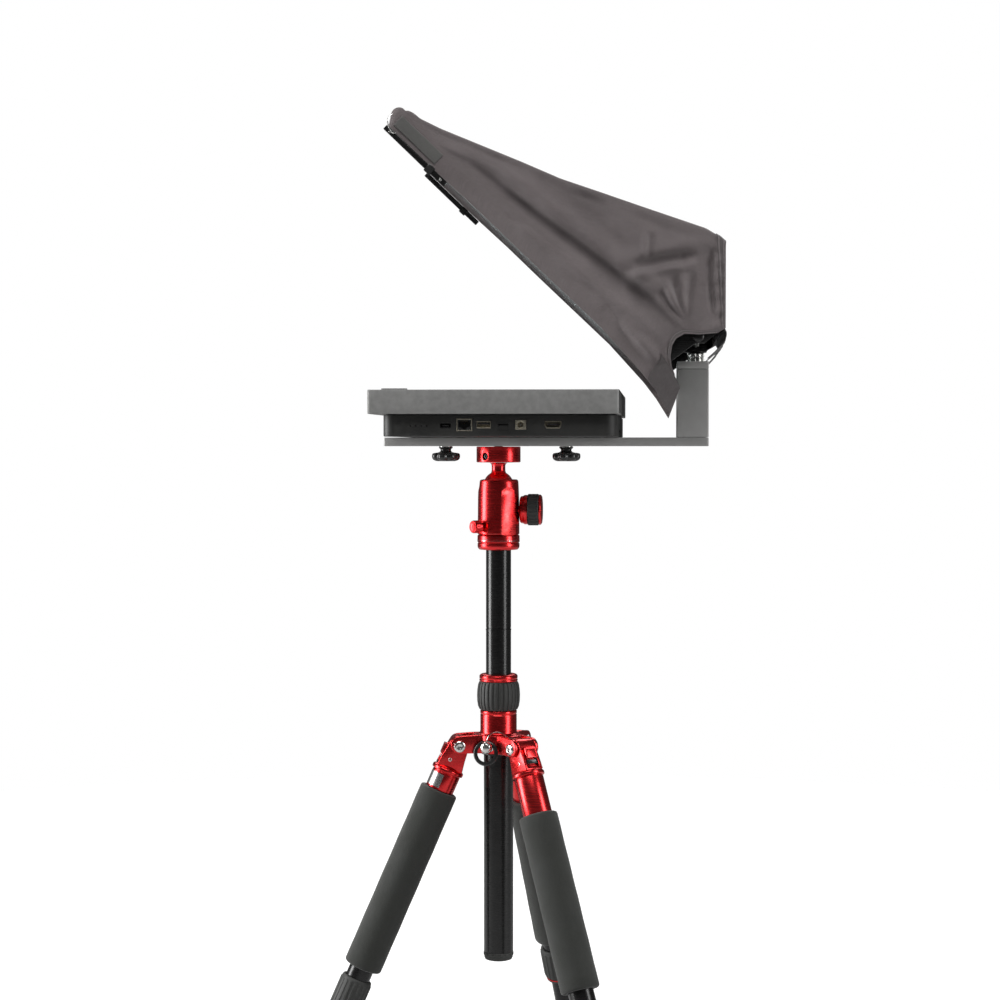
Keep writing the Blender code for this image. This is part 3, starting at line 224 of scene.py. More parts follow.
def drilled(obj, *cutters):
    for cutter in cutters:
        bore = obj.modifiers.new("bore", "BOOLEAN")
        bore.operation = "DIFFERENCE"
        bore.solver = "EXACT"
        bore.object = cutter
        take(obj)
        bpy.ops.object.modifier_apply(modifier=bore.name)
        bpy.data.objects.remove(cutter, do_unlink=True)
    return obj


def softened(obj, width, segments=2, angle=30):
    """Rounds the edges that turn by more than the angle."""
    take(obj)
    bevel = obj.modifiers.new("soft edges", "BEVEL")
    bevel.width = width * MM
    bevel.segments = segments
    bevel.limit_method = "ANGLE"
    bevel.angle_limit = math.radians(angle)
    bpy.ops.object.modifier_apply(modifier=bevel.name)
    set_down()
    return obj


def moved(obj, place):
    """Puts the mesh where the matrix says and leaves the object at the origin."""
    take(obj)
    obj.matrix_world = place
    bpy.ops.object.transform_apply(location=True, rotation=True, scale=True)
    set_down()
    return obj


def joined(name, *objs):
    set_down()
    for obj in objs:
        obj.select_set(True)
    bpy.context.view_layer.objects.active = objs[0]
    bpy.ops.object.join()
    return new_piece(name)


def wire(name, points, radius, steps=10):
    """A smooth round wire through points in metres."""
    curve = bpy.data.curves.new(name, "CURVE")
    curve.dimensions = "3D"
    curve.bevel_depth = radius * MM
    curve.bevel_resolution = 3
    curve.resolution_u = steps
    curve.use_fill_caps = True
    spline = curve.splines.new("NURBS")
    spline.points.add(len(points) - 1)
    for point, co in zip(spline.points, points):
        point.co = (*co, 1)
    spline.order_u = 4
    spline.use_endpoint_u = True
    obj = bpy.data.objects.new(name, curve)
    bpy.context.scene.collection.objects.link(obj)
    take(obj)
    bpy.ops.object.convert(target="MESH")
    return new_piece(name)


def along(start, direction):
    """A place at start whose Z runs in direction."""
    turn = Vector(direction).to_track_quat("Z", "Y").to_matrix().to_4x4()
    return Matrix.Translation(start) @ turn


def fitted(obj, finish, body, *nodes, angle=32):
    """Gives the piece its finish and its body, and lets it stand for the CAD nodes."""
    take(obj)
    bpy.ops.object.shade_smooth_by_angle(angle=math.radians(angle))
    obj.data.materials.clear()
    obj.data.materials.append(finish)
    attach(obj, body)
    if nodes:
        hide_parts(*nodes)
    set_down()
    return obj


# ---------------------------------------------------------------- finishes

def new_group(name, inputs, outputs):
    """A shader node group with named sockets, and its input and output nodes."""
    group = bpy.data.node_groups.new(name, "ShaderNodeTree")
    for label, kind, value in inputs:
        socket = group.interface.new_socket(name=label, in_out="INPUT", socket_type=kind)
        socket.default_value = value
    for label, kind in outputs:
        group.interface.new_socket(name=label, in_out="OUTPUT", socket_type=kind)
    entry = group.nodes.new("NodeGroupInput")
    exit_node = group.nodes.new("NodeGroupOutput")
    return group, entry, exit_node


def node(tree, kind, settings=(), **links):
    """A node with its settings; each link is a socket's value or the output that feeds it."""
    made = tree.nodes.new("ShaderNode" + kind)
    for name, value in dict(settings).items():
        setattr(made, name, value)
    for label, value in links.items():
        by_number = label[0] == "i" and label[1:].isdigit()
        socket = made.inputs[int(label[1:]) if by_number else label]
        if isinstance(value, bpy.types.NodeSocket):
            tree.links.new(value, socket)
        else:
            socket.default_value = value
    return made


def maths(tree, operation, first, second=0.0, clamp=False):
    made = node(tree, "Math", {"operation": operation, "use_clamp": clamp}, i0=first, i1=second)
    return made.outputs[0]


def spread(tree, value, low, high, to_low=0.0, to_high=1.0):
    made = node(tree, "MapRange", {"clamp": True}, i0=value, i1=low, i2=high, i3=to_low, i4=to_high)
    return made.outputs[0]


def make_grain():
    """Fine grain and slow cloudiness of a moulded, sprayed or blasted surface."""
    group, entry, out = new_group(
        "surface grain",
        [("Grain Size", "NodeSocketFloat", 0.5), ("Cloud Size", "NodeSocketFloat", 40.0)],
        [("Grain", "NodeSocketFloat"), ("Clouds", "NodeSocketFloat")])
    place = node(group, "TexCoord").outputs["Object"]
    fine = maths(group, "DIVIDE", 1000.0, entry.outputs["Grain Size"])
    wide = maths(group, "DIVIDE", 1000.0, entry.outputs["Cloud Size"])
    grain = node(group, "TexNoise", Vector=place, Scale=fine, Detail=3.0, Roughness=0.6)
    clouds = node(group, "TexNoise", Vector=place, Scale=wide, Detail=4.0, Roughness=0.55)
    group.links.new(grain.outputs["Fac"], out.inputs["Grain"])
    group.links.new(spread(group, clouds.outputs["Fac"], 0.3, 0.7), out.inputs["Clouds"])
    return group


def make_brushing():
    """Long thin lines left by brushing or turning along one axis."""
    group, entry, out = new_group(
        "brushed lines",
        [("Along", "NodeSocketVector", (1.0, 1.0, 1.0)), ("Line Width", "NodeSocketFloat", 0.3)],
        [("Lines", "NodeSocketFloat")])
    place = node(group, "TexCoord").outputs["Object"]
    stretched = node(group, "VectorMath", {"operation": "MULTIPLY"}, i0=place, i1=entry.outputs["Along"])
    density = maths(group, "DIVIDE", 1000.0, entry.outputs["Line Width"])
    lines = node(group, "TexNoise", Vector=stretched.outputs[0], Scale=density, Detail=2.0, Roughness=0.5)
    group.links.new(lines.outputs["Fac"], out.inputs["Lines"])
    return group


def make_wear():
    """Where edges are rubbed: 1 on worn edges, broken up by noise."""
    group, entry, out = new_group(
        "edge wear", [("Amount", "NodeSocketFloat", 0.5)], [("Wear", "NodeSocketFloat")])
    point = node(group, "NewGeometry").outputs["Pointiness"]
    place = node(group, "TexCoord").outputs["Object"]
    patchy = node(group, "TexNoise", Vector=place, Scale=160.0, Detail=4.0).outputs["Fac"]
    edge = spread(group, point, 0.515, 0.6)
    rubbed = maths(group, "MULTIPLY", edge, spread(group, patchy, 0.35, 0.65))
    group.links.new(maths(group, "MULTIPLY", rubbed, entry.outputs["Amount"]), out.inputs["Wear"])
    return group


def make_dust():
    """Fine dust that settles on faces that look up."""
    group, entry, out = new_group(
        "settled dust", [("Amount", "NodeSocketFloat", 0.3)], [("Dust", "NodeSocketFloat")])
    up = node(group, "SeparateXYZ", i0=node(group, "NewGeometry").outputs["Normal"]).outputs["Z"]
    place = node(group, "TexCoord").outputs["Object"]
    patchy = node(group, "TexNoise", Vector=place, Scale=35.0, Detail=6.0, Roughness=0.65).outputs["Fac"]
    settled = maths(group, "MULTIPLY", spread(group, up, 0.3, 1.0), spread(group, patchy, 0.4, 0.75))
    group.links.new(maths(group, "MULTIPLY", settled, entry.outputs["Amount"]), out.inputs["Dust"])
    return group


def make_weave():
    """Plain weave from the piece's own UV map, in metres."""
    group, entry, out = new_group(
        "plain weave", [("Thread", "NodeSocketFloat", 0.5)],
        [("Height", "NodeSocketFloat"), ("Thread Shade", "NodeSocketFloat")])
    uv = node(group, "TexCoord").outputs["UV"]
    rate = maths(group, "DIVIDE", 1000.0 * math.pi, entry.outputs["Thread"])
    axes = node(group, "SeparateXYZ", i0=uv)
    warp_turn = maths(group, "MULTIPLY", axes.outputs["X"], rate)
    weft_turn = maths(group, "MULTIPLY", axes.outputs["Y"], rate)
    warp = maths(group, "ABSOLUTE", maths(group, "SINE", warp_turn))
    weft = maths(group, "ABSOLUTE", maths(group, "SINE", weft_turn))
    half_warp = maths(group, "SINE", maths(group, "MULTIPLY", warp_turn, 0.5))
    half_weft = maths(group, "SINE", maths(group, "MULTIPLY", weft_turn, 0.5))
    over = maths(group, "GREATER_THAN", maths(group, "MULTIPLY", half_warp, half_weft), 0.0)
    mixed = node(group, "Mix", {"data_type": "FLOAT"}, i0=over, i2=warp, i3=weft)
    streaks = node(group, "VectorMath", {"operation": "MULTIPLY"}, i0=uv, i1=(40.0, 2200.0, 1.0))
    shade = node(group, "TexNoise", Vector=streaks.outputs[0], Scale=1.0, Detail=3.0).outputs["Fac"]
    group.links.new(mixed.outputs[0], out.inputs["Height"])
    group.links.new(spread(group, shade, 0.35, 0.65), out.inputs["Thread Shade"])
    return group


GRAIN = make_grain()
BRUSHING = make_brushing()
WEAR = make_wear()
DUST = make_dust()
WEAVE = make_weave()


def use(tree, group, **values):
    made = tree.nodes.new("ShaderNodeGroup")
    made.node_tree = group
    for label, value in values.items():
        socket = made.inputs[label.replace("_", " ")]
        if isinstance(value, bpy.types.NodeSocket):
            tree.links.new(value, socket)
        else:
            socket.default_value = value
    return made


def tint(tree, mask, first, second):
    """The first colour where the mask is 0 and the second where it is 1."""
    made = node(tree, "Mix", {"data_type": "RGBA"}, i0=mask)
    for socket, colour in ((made.inputs[6], first), (made.inputs[7], second)):
        if isinstance(colour, bpy.types.NodeSocket):
            tree.links.new(colour, socket)
        else:
            socket.default_value = (*colour, 1)
    return made.outputs[2]


def bumped(tree, height, distance, strength=1.0):
    made = node(tree, "Bump", Height=height, Distance=distance * MM, Strength=strength)
    return made.outputs["Normal"]


def new_finish(name, slot, **constants):
    """A material with its Principled shader, and the record's slot that it belongs to."""
    finish = bpy.data.materials.new(name)
    finish.use_nodes = True
    finish["slot"] = slot
    tree = finish.node_tree
    shader = tree.nodes["Principled BSDF"]
    for label, value in constants.items():
        shader.inputs[label.replace("_", " ")].default_value = value
    return finish, tree, shader


def feed(tree, shader, **links):
    for label, value in links.items():
        tree.links.new(value, shader.inputs[label.replace("_", " ")])


def moulded(name, slot, dark, light, rough=(0.45, 0.62), grain=0.5, depth=0.03, dust=0.12, wear=0.25,
            worn=None):
    """Fine-grained moulded plastic or rubber: cloudy colour, grained bump, rubbed edges and dust."""
    finish, tree, shader = new_finish(name, slot, IOR=1.48)
    surface = use(tree, GRAIN, Grain_Size=grain, Cloud_Size=45.0)
    base = tint(tree, surface.outputs["Clouds"], dark, light)
    rubbed = use(tree, WEAR, Amount=wear).outputs["Wear"]
    base = tint(tree, rubbed, base, worn or [min(1, 2.2 * c + 0.02) for c in light])
    settled = use(tree, DUST, Amount=dust).outputs["Dust"]
    base = tint(tree, settled, base, (0.42, 0.41, 0.39))
    feed(tree, shader, Base_Color=base, Roughness=spread(tree, surface.outputs["Clouds"], 0, 1, *rough),
         Normal=bumped(tree, surface.outputs["Grain"], depth))
    return finish


def metal(name, slot, dark, light, along=(1, 1, 1), line=0.25, rough=(0.2, 0.34), metallic=1.0, coat=0.0,
          depth=0.006,
          worn=None, wear=0.3):
    """Turned, brushed or anodised metal with fine lines and bright rubbed edges."""
    finish, tree, shader = new_finish(name, slot, Metallic=metallic, Coat_Weight=coat, Coat_Roughness=0.12)
    lines = use(tree, BRUSHING, Along=along, Line_Width=line).outputs["Lines"]
    clouds = use(tree, GRAIN, Grain_Size=0.3, Cloud_Size=30.0)
    base = tint(tree, clouds.outputs["Clouds"], dark, light)
    rubbed = use(tree, WEAR, Amount=wear).outputs["Wear"]
    base = tint(tree, rubbed, base, worn or [min(1, 1.5 * c + 0.05) for c in light])
    feed(tree, shader, Base_Color=base, Roughness=spread(tree, lines, 0.3, 0.7, *rough),
         Normal=bumped(tree, lines, depth))
    return finish


TURNED = (0.02, 0.02, 1.0)      # lines that run round a part turned about Z
ALONG_X = (0.02, 1.0, 1.0)

RED = metal("red anodised metal", "red_anodised", (0.62, 0.022, 0.026), (0.72, 0.032, 0.034), along=TURNED,
            line=0.35, rough=(0.2, 0.32), coat=0.15, wear=0.2, worn=(0.9, 0.3, 0.28))
GREY = metal("grey brushed paint", "grey_paint", (0.27, 0.268, 0.264), (0.315, 0.312, 0.307), along=ALONG_X,
             line=0.3, rough=(0.42, 0.55), metallic=0.25, depth=0.01, wear=0.1)
BLACK = metal("black anodised metal", "black_metal", (0.006, 0.006, 0.006), (0.011, 0.011, 0.011),
              along=TURNED,
              line=0.2, rough=(0.2, 0.3), metallic=0.35, depth=0.003, wear=0.04, worn=(0.1, 0.1, 0.095))
STEEL = metal("turned steel", "steel", (0.52, 0.52, 0.5), (0.66, 0.66, 0.64), along=TURNED, line=0.15,
              rough=(0.14, 0.26), wear=0.2)
NICKEL = metal("plated socket shell", "steel", (0.4, 0.37, 0.3), (0.56, 0.52, 0.42), line=0.2,
               rough=(0.22, 0.4))
FOIL = metal("blank foil label", "steel", (0.5, 0.5, 0.49), (0.66, 0.66, 0.65), line=0.1, rough=(0.22, 0.3),
             wear=0.0)
GOLD = metal("gold contacts", "steel", (0.62, 0.42, 0.14), (0.75, 0.52, 0.2), line=0.2, rough=(0.2, 0.3))
SHELL = moulded("dark case plastic", "dark_plastic", (0.0075, 0.0075, 0.007), (0.0115, 0.0115, 0.0105),
                grain=0.45,
                depth=0.04, wear=0.3)
GLOSSY = moulded("glossy black plastic", "dark_plastic", (0.012, 0.012, 0.012), (0.02, 0.02, 0.02),
                 rough=(0.16, 0.26), grain=0.8, depth=0.01, wear=0.2)
BEZEL = moulded("grey bezel plastic", "bezel_plastic", (0.152, 0.152, 0.149), (0.162, 0.162, 0.158),
                rough=(0.42, 0.56), grain=0.4, depth=0.025, dust=0.1, wear=0.5)
# Darker copy of the bezel plastic: painted shade for the bezel's right end faces.
BEZEL_SHADED_END = moulded("bezel end painted shade", "bezel_plastic", (0.035, 0.035, 0.034), (0.05, 0.05, 0.048),
                    rough=(0.4, 0.55), grain=0.4)
RUBBER = moulded("ribbed rubber", "rubber", (0.017, 0.0175, 0.0165), (0.027, 0.028, 0.026),
                 rough=(0.55, 0.72),
                 grain=0.35, depth=0.05, dust=0.2, wear=0.35)
BOARD = moulded("green circuit board", "board", (0.01, 0.09, 0.035), (0.015, 0.13, 0.05), rough=(0.35, 0.5),
                grain=1.5)


def make_foam():
    """Closed-cell foam: soft pores and pressed patches."""
    finish, tree, shader = new_finish("leg grip foam", "foam", Sheen_Weight=0.15, Sheen_Roughness=0.5)
    surface = use(tree, GRAIN, Grain_Size=0.9, Cloud_Size=26.0)
    place = node(tree, "TexCoord").outputs["Object"]
    pores = node(tree, "TexVoronoi", {"feature": "SMOOTH_F1"}, Vector=place, Scale=1300.0, Smoothness=0.4)
    pit = spread(tree, pores.outputs["Distance"], 0.1, 0.6)
    base = tint(tree, surface.outputs["Clouds"], (0.013, 0.0145, 0.0118), (0.021, 0.0225, 0.019))
    base = tint(tree, maths(tree, "MULTIPLY", pit, 0.35), base, (0.01, 0.011, 0.01))
    settled = use(tree, DUST, Amount=0.15).outputs["Dust"]
    base = tint(tree, settled, base, (0.3, 0.3, 0.28))
    height = maths(tree, "ADD", maths(tree, "MULTIPLY", pit, -0.6), surface.outputs["Grain"])
    feed(tree, shader, Base_Color=base, Roughness=spread(tree, surface.outputs["Clouds"], 0, 1, 0.78, 0.95),
         Normal=bumped(tree, height, 0.16))
    return finish


def make_cloth(name, dark, light, thread=0.55, depth=0.09, gloss=0.62):
    """Coated nylon: plain weave, threads of uneven shade, rubbed ridges and a faint sheen."""
    finish, tree, shader = new_finish(name, "fabric", Sheen_Weight=0.22, Sheen_Roughness=0.45)
    weave = use(tree, WEAVE, Thread=thread)
    clouds = use(tree, GRAIN, Grain_Size=2.2, Cloud_Size=70.0)
    base = tint(tree, clouds.outputs["Clouds"], dark, light)
    gap = spread(tree, weave.outputs["Height"], 0.0, 0.5, 0.6, 0.0)
    base = tint(tree, gap, base, [0.45 * c for c in dark])
    base = tint(tree, maths(tree, "MULTIPLY", weave.outputs["Thread Shade"], 0.28), base,
                [1.5 * c for c in light])
    rubbed = use(tree, WEAR, Amount=0.25).outputs["Wear"]
    base = tint(tree, rubbed, base, [min(1, 1.9 * c) for c in light])
    rough = spread(tree, clouds.outputs["Grain"], 0.3, 0.7, gloss, gloss + 0.16)
    slack = maths(tree, "MULTIPLY", clouds.outputs["Grain"], 3.0)
    height = maths(tree, "ADD", weave.outputs["Height"], slack)
    feed(tree, shader, Base_Color=base, Roughness=rough, Normal=bumped(tree, height, depth))
    return finish


def make_stitched(name, dark, light):
    """A hem with two rows of stitches; its UV runs along it in metres and across it from 0 to 1."""
    finish, tree, shader = new_finish(name, "fabric", Sheen_Weight=0.2, Sheen_Roughness=0.5)
    uv = node(tree, "SeparateXYZ", i0=node(tree, "TexCoord").outputs["UV"])
    run = maths(tree, "MULTIPLY", uv.outputs["X"], 1000.0 * math.tau / 3.2)
    dash = spread(tree, maths(tree, "SINE", run), -0.25, 0.1)
    across = uv.outputs["Y"]
    near_row = maths(tree, "ABSOLUTE", maths(tree, "SUBTRACT", across, 0.22))
    far_row = maths(tree, "ABSOLUTE", maths(tree, "SUBTRACT", across, 0.78))
    row = spread(tree, maths(tree, "MINIMUM", near_row, far_row), 0.05, 0.09, 1.0, 0.0)
    stitch = maths(tree, "MULTIPLY", dash, row)
    ribs = maths(tree, "ABSOLUTE", maths(tree, "SINE", maths(tree, "MULTIPLY", uv.outputs["X"], 5600.0)))
    surface = use(tree, GRAIN, Grain_Size=0.8, Cloud_Size=30.0)
    base = tint(tree, surface.outputs["Clouds"], dark, light)
    base = tint(tree, maths(tree, "MULTIPLY", ribs, 0.25), base, [0.5 * c for c in dark])
    base = tint(tree, stitch, base, [min(1, 2.0 * c) for c in light])
    height = maths(tree, "ADD", maths(tree, "MULTIPLY", stitch, 2.0), maths(tree, "MULTIPLY", ribs, 0.5))
    feed(tree, shader, Base_Color=base, Roughness=spread(tree, surface.outputs["Grain"], 0.3, 0.7, 0.68,
                                                         0.85),
         Normal=bumped(tree, height, 0.12))
    return finish


def make_mirror_glass():
    """Half-silvered glass: clear, with a faint film of dust."""
    finish, tree, shader = new_finish("half silvered glass", "glass", Metallic=0.25,
                                      Transmission_Weight=0.75, IOR=1.5)
    surface = use(tree, GRAIN, Grain_Size=6.0, Cloud_Size=60.0)
    base = tint(tree, surface.outputs["Clouds"], (0.82, 0.87, 0.88), (0.9, 0.94, 0.94))
    feed(tree, shader, Base_Color=base, Roughness=spread(tree, surface.outputs["Clouds"], 0, 1, 0.015, 0.05))
    return finish


def make_display():
    """Dark display face with its fine cell pattern and a faint bloom."""
    finish, tree, shader = new_finish("display face", "screen", Coat_Weight=0.4, Coat_Roughness=0.05)
    place = node(tree, "TexCoord").outputs["Object"]
    cells = node(tree, "TexBrick", {"offset": 0.0}, Vector=place, Scale=1800.0)
    surface = use(tree, GRAIN, Grain_Size=1.2, Cloud_Size=90.0)
    base = tint(tree, surface.outputs["Clouds"], (0.008, 0.009, 0.011), (0.014, 0.015, 0.018))
    base = tint(tree, maths(tree, "MULTIPLY", cells.outputs["Fac"], 0.4), base, (0.004, 0.004, 0.005))
    feed(tree, shader, Base_Color=base, Roughness=spread(tree, surface.outputs["Clouds"], 0, 1, 0.12, 0.2))
    return finish


FOAM = make_foam()
CLOTH = make_cloth("hood nylon", (0.086, 0.0715, 0.0725), (0.118, 0.099, 0.1))
# Half-bright copy of the hood nylon: painted shade on the hood's folded lower front corners.
CORNER_SHADE_CLOTH = make_cloth("hood corner painted shade", (0.042, 0.035, 0.0355), (0.06, 0.05, 0.051))
# Near-black cloth for the rear flap: painted shade of the hood's shaded inside, seen through the arch.
REAR_SHADE_CLOTH = make_cloth("rear flap painted shade cloth", (0.012, 0.012, 0.012), (0.02, 0.02, 0.02), gloss=0.7)
LABEL = make_cloth("blank sewn label", (0.062, 0.061, 0.058), (0.078, 0.077, 0.073), thread=0.4, depth=0.05)
HEM = make_stitched("stitched hem", (0.062, 0.052, 0.053), (0.088, 0.075, 0.076))
GLASS = make_mirror_glass()
DISPLAY = make_display()


# ---------------------------------------------------------------- legs

def leg_place(side):
    """The leg's own frame: at the hinge pin, Z down the leg, Y along the pin, X on the inner side."""
    down = Vector(JOINTS[f"leg_{side}_slide"]["axis"])
    pin = Vector(JOINTS[f"leg_{side}_fold"]["axis"])
    turn = Matrix((pin.cross(down), pin, down)).transposed().to_4x4()
    return Matrix.Translation(JOINTS[f"leg_{side}_fold"]["pos_m"]) @ turn


def crown_place(side):
    """The crown's frame under one leg: X outwards, Z up, at the height of the pins."""
    pin = Vector(JOINTS[f"leg_{side}_fold"]["axis"])
    turn = Matrix((pin.cross(Vector((0, 0, 1))), pin, Vector((0, 0, 1)))).transposed().to_4x4()
    return Matrix.Translation((COLUMN.x, COLUMN.y, HINGE_Z)) @ turn


def set_screw(name, radius, depth=1.2):
    """A small round screw head with a hexagon socket, its face at Z = 0."""
    head = turned(name, [(radius, -depth), (radius, -0.25), (radius * 0.86, 0)], sides=28)
    socket = turned(name + "_socket", [(radius * 0.46, -0.6 * depth), (radius * 0.5, 1)], sides=6)
    return softened(drilled(head, socket), 0.08, 1)


SOCKET_ENDS = {"left": 52.7, "front": 73.7, "rear": 73.7}
SOCKET_RADIUS = 15.6


def make_bracket(side):
    """Red leg bracket: rounded knuckle, collar, long socket, angle stop and small screws."""
    end = SOCKET_ENDS[side]
    name = f"leg_{side}_bracket"
    sleeve = turned(name, [
        (13.9, end), (15.0, end), (SOCKET_RADIUS, end - 0.6), (SOCKET_RADIUS, 33.4),
                           (SOCKET_RADIUS - 0.4, 33.0),
        (SOCKET_RADIUS - 0.4, 32.2), (17.2, 31.6), (17.6, 31.0), (17.6, 28.4), (16.9, 27.4), (13.5, 25.4),
        (10.5, 24.8)], sides=64)
    outer = arc((0, 0), 11, 8, 172, 14)
    points = [(x, -z) for x, z in outer] + [(-11.8, 6), (-13.4, 16), (-14.6, 27), (14.6, 27), (12.4, 14),
                                            (11.4, 5)]
    knuckle = outlined(name + "_knuckle", points, -10.9, 10.9)
    relief = block(name + "_relief", (-20, -7.2, 2.5), (-9.4, 7.2, 23.5))
    knuckle = softened(drilled(knuckle, relief), 1.3, 3)
    whole = joined(name, softened(sleeve, 0.25), knuckle)
    fitted(moved(whole, leg_place(side)), RED, f"leg_{side}", name)
    stop = block(name + "_stop", (-15.2, -6.9, 3.2), (-9.9, 6.9, 14.8))
    open_up(stop)
    pick_faces(stop, lambda middle, normal: normal.x < -0.5)
    bpy.ops.mesh.inset(thickness=1.1 * MM, depth=-0.5 * MM)
    bpy.ops.mesh.inset(thickness=0.5 * MM, depth=0.5 * MM)
    set_down()
    fitted(moved(softened(stop, 0.4), leg_place(side)), RED, f"leg_{side}")
    slot = block(name + "_stop_spring", (-13.2, -6.6, 15.4), (-10, 6.6, 20.4))
    open_up(slot)
    pick_faces(slot, lambda middle, normal: normal.x < -0.5)
    bpy.ops.mesh.inset(thickness=0.7 * MM, depth=-0.9 * MM)
    set_down()
    fitted(moved(softened(slot, 0.3), leg_place(side)), GLOSSY, f"leg_{side}")
    for turn in (-1, 1):
        screw = set_screw(f"leg_{side}_screw_{'near' if turn > 0 else 'far'}", 2.1)
        face = Matrix.Translation((-3.4 * MM, turn * 11.3 * MM, 17.5 * MM)) @ Matrix.Rotation(-turn
                                                                                              * math.pi / 2,
                                                                                              4, "X")
        fitted(moved(screw, leg_place(side) @ face), STEEL, f"leg_{side}")


def make_label():
    """Blank foil label on the left bracket's socket: a piece of a thin ring."""
    ring = turned("leg_left_label", [(15.7, 50), (15.72, 49.8), (15.72, 35.4), (15.7, 35.2)], sides=64)
    open_up(ring)
    pick_faces(ring, lambda middle, normal: not 1.8 < math.atan2(middle.y, middle.x) < 3.1
               or abs(normal.z) > 0.5)
    bpy.ops.mesh.delete(type="FACE")
    set_down()
    take(ring)
    thick = ring.modifiers.new("thickness", "SOLIDIFY")
    thick.thickness = 0.16 * MM
    thick.offset = 1
    bpy.ops.object.modifier_apply(modifier=thick.name)
    fitted(moved(softened(ring, 0.05, 1), leg_place("left")), FOIL, "leg_left")


def make_pin(side):
    """Polished hinge bolt: domed heads with hexagon sockets, and a washer under each."""
    head = [(4.6, 14.2), (5.9, 13.5), (6.4, 12.3), (6.4, 11.7), (7.0, 11.6), (7.0, 11.0), (3.4, 10.95)]
    profile = head + [(radius, -height) for radius, height in reversed(head)]
    pin = turned(f"leg_{side}_pin", [(radius, height + math.copysign(3.7, height)) for radius,
                                     height in profile], 48)
    for turn in (-1, 1):
        low, high = sorted((turn * 15.7, turn * 20))
        drilled(pin, turned("pin_socket", [(2.5, low), (2.5, high)], sides=6))
    hinge = Matrix.Translation(((JOINTS[f"leg_{side}_fold"]["pos_m"])))
    turn = crown_place(side).to_3x3().to_4x4() @ Matrix.Rotation(math.pi / 2, 4, "X")
    fitted(moved(softened(pin, 0.2), hinge @ turn), STEEL, "base", f"leg_{side}_pin")


def make_grip(side):
    start = SOCKET_ENDS[side] + 0.3
    end = 262
    profile = [(13.85, start), (19.0, start), (20.3, start + 0.7), (20.8, start + 2.4)]
    profile += [(20.8 + 0.12 * math.sin(i * 1.7), start + 2.4 + (end - start - 5) * i / 16)
                for i in range(1, 16)]
    profile += [(20.8, end - 2.6), (20.2, end - 0.9), (18.8, end), (13.85, end)]
    grip = turned(f"leg_{side}_grip", profile, sides=64, closed=True)
    fitted(moved(grip, leg_place(side)), FOAM, f"leg_{side}", f"leg_{side}_grip", angle=50)


def make_leg_tubes(side):
    """Top tube, ribbed twist lock, sliding tube and rubber foot."""
    place = leg_place(side)
    top = turned(f"leg_{side}_tube", [(12.2, 302), (13.2, 302), (13.5, 301.7), (13.5, SOCKET_ENDS[side] - 20),
                                      (12.2, SOCKET_ENDS[side] - 20)], sides=48, closed=True)
    fitted(moved(top, place), BLACK, f"leg_{side}", f"leg_{side}_tube")
    lock = turned(f"leg_{side}_lock", [
        (13.85, 275), (15.4, 275), (16.4, 276), (17.1, 279), (17.1, 309), (16.6, 312), (15.6, 313),
                                       (15.6, 314.4),
        (16.0, 314.9), (16.0, 317), (15.0, 318), (11.9, 318), (11.9, 302.5), (13.85, 302.5)], sides=80,
                  closed=True)
    fluted(lock, 80, 277.5, 311, 4, 2, 0.55)
    fitted(moved(softened(lock, 0.2, 1), place), RUBBER, f"leg_{side}_lock", f"leg_{side}_lock")
    ring = turned(f"leg_{side}_lock_ring", [(15.7, 313.2), (16.5, 313.2), (16.5, 314.6), (15.7, 314.6)], 64,
                  closed=True)
    fitted(moved(softened(ring, 0.2), place), RED, f"leg_{side}_lock")
    slider = turned(f"leg_{side}_extension", [(10.2, 409.8), (11.5, 409.8), (11.5, 72.2), (10.2, 72.2)], 48,
                    closed=True)
    fitted(moved(slider, place), BLACK, f"leg_{side}_section", f"leg_{side}_extension")
    foot = turned(f"leg_{side}_foot", [
        (11.85, 396), (12.6, 396), (13.6, 398), (14.9, 403), (14.9, 408), (14.2, 408.6), (14.2, 410.2),
                                       (14.9, 410.8),
        (14.9, 414.8), (14.2, 415.4), (14.2, 417), (14.9, 417.6), (14.9, 434), (11.85, 434)], sides=64)
    moved(softened(foot, 0.25, 2), place)
    open_up(foot)
    bpy.ops.mesh.select_all(action="SELECT")
    bpy.ops.mesh.bisect(plane_co=(0, 0, 0), plane_no=(0, 0, -1), use_fill=True, clear_outer=True)
    fitted(foot, RUBBER, f"leg_{side}_section", f"leg_{side}_foot")


for leg in ("left", "front", "rear"):
    make_bracket(leg)
    make_pin(leg)
    make_grip(leg)
    make_leg_tubes(leg)
make_label()


# ---------------------------------------------------------------- crown and column

HUB = Matrix.Translation((COLUMN.x, COLUMN.y, HINGE_Z))
HUB_RADIUS = 24.0


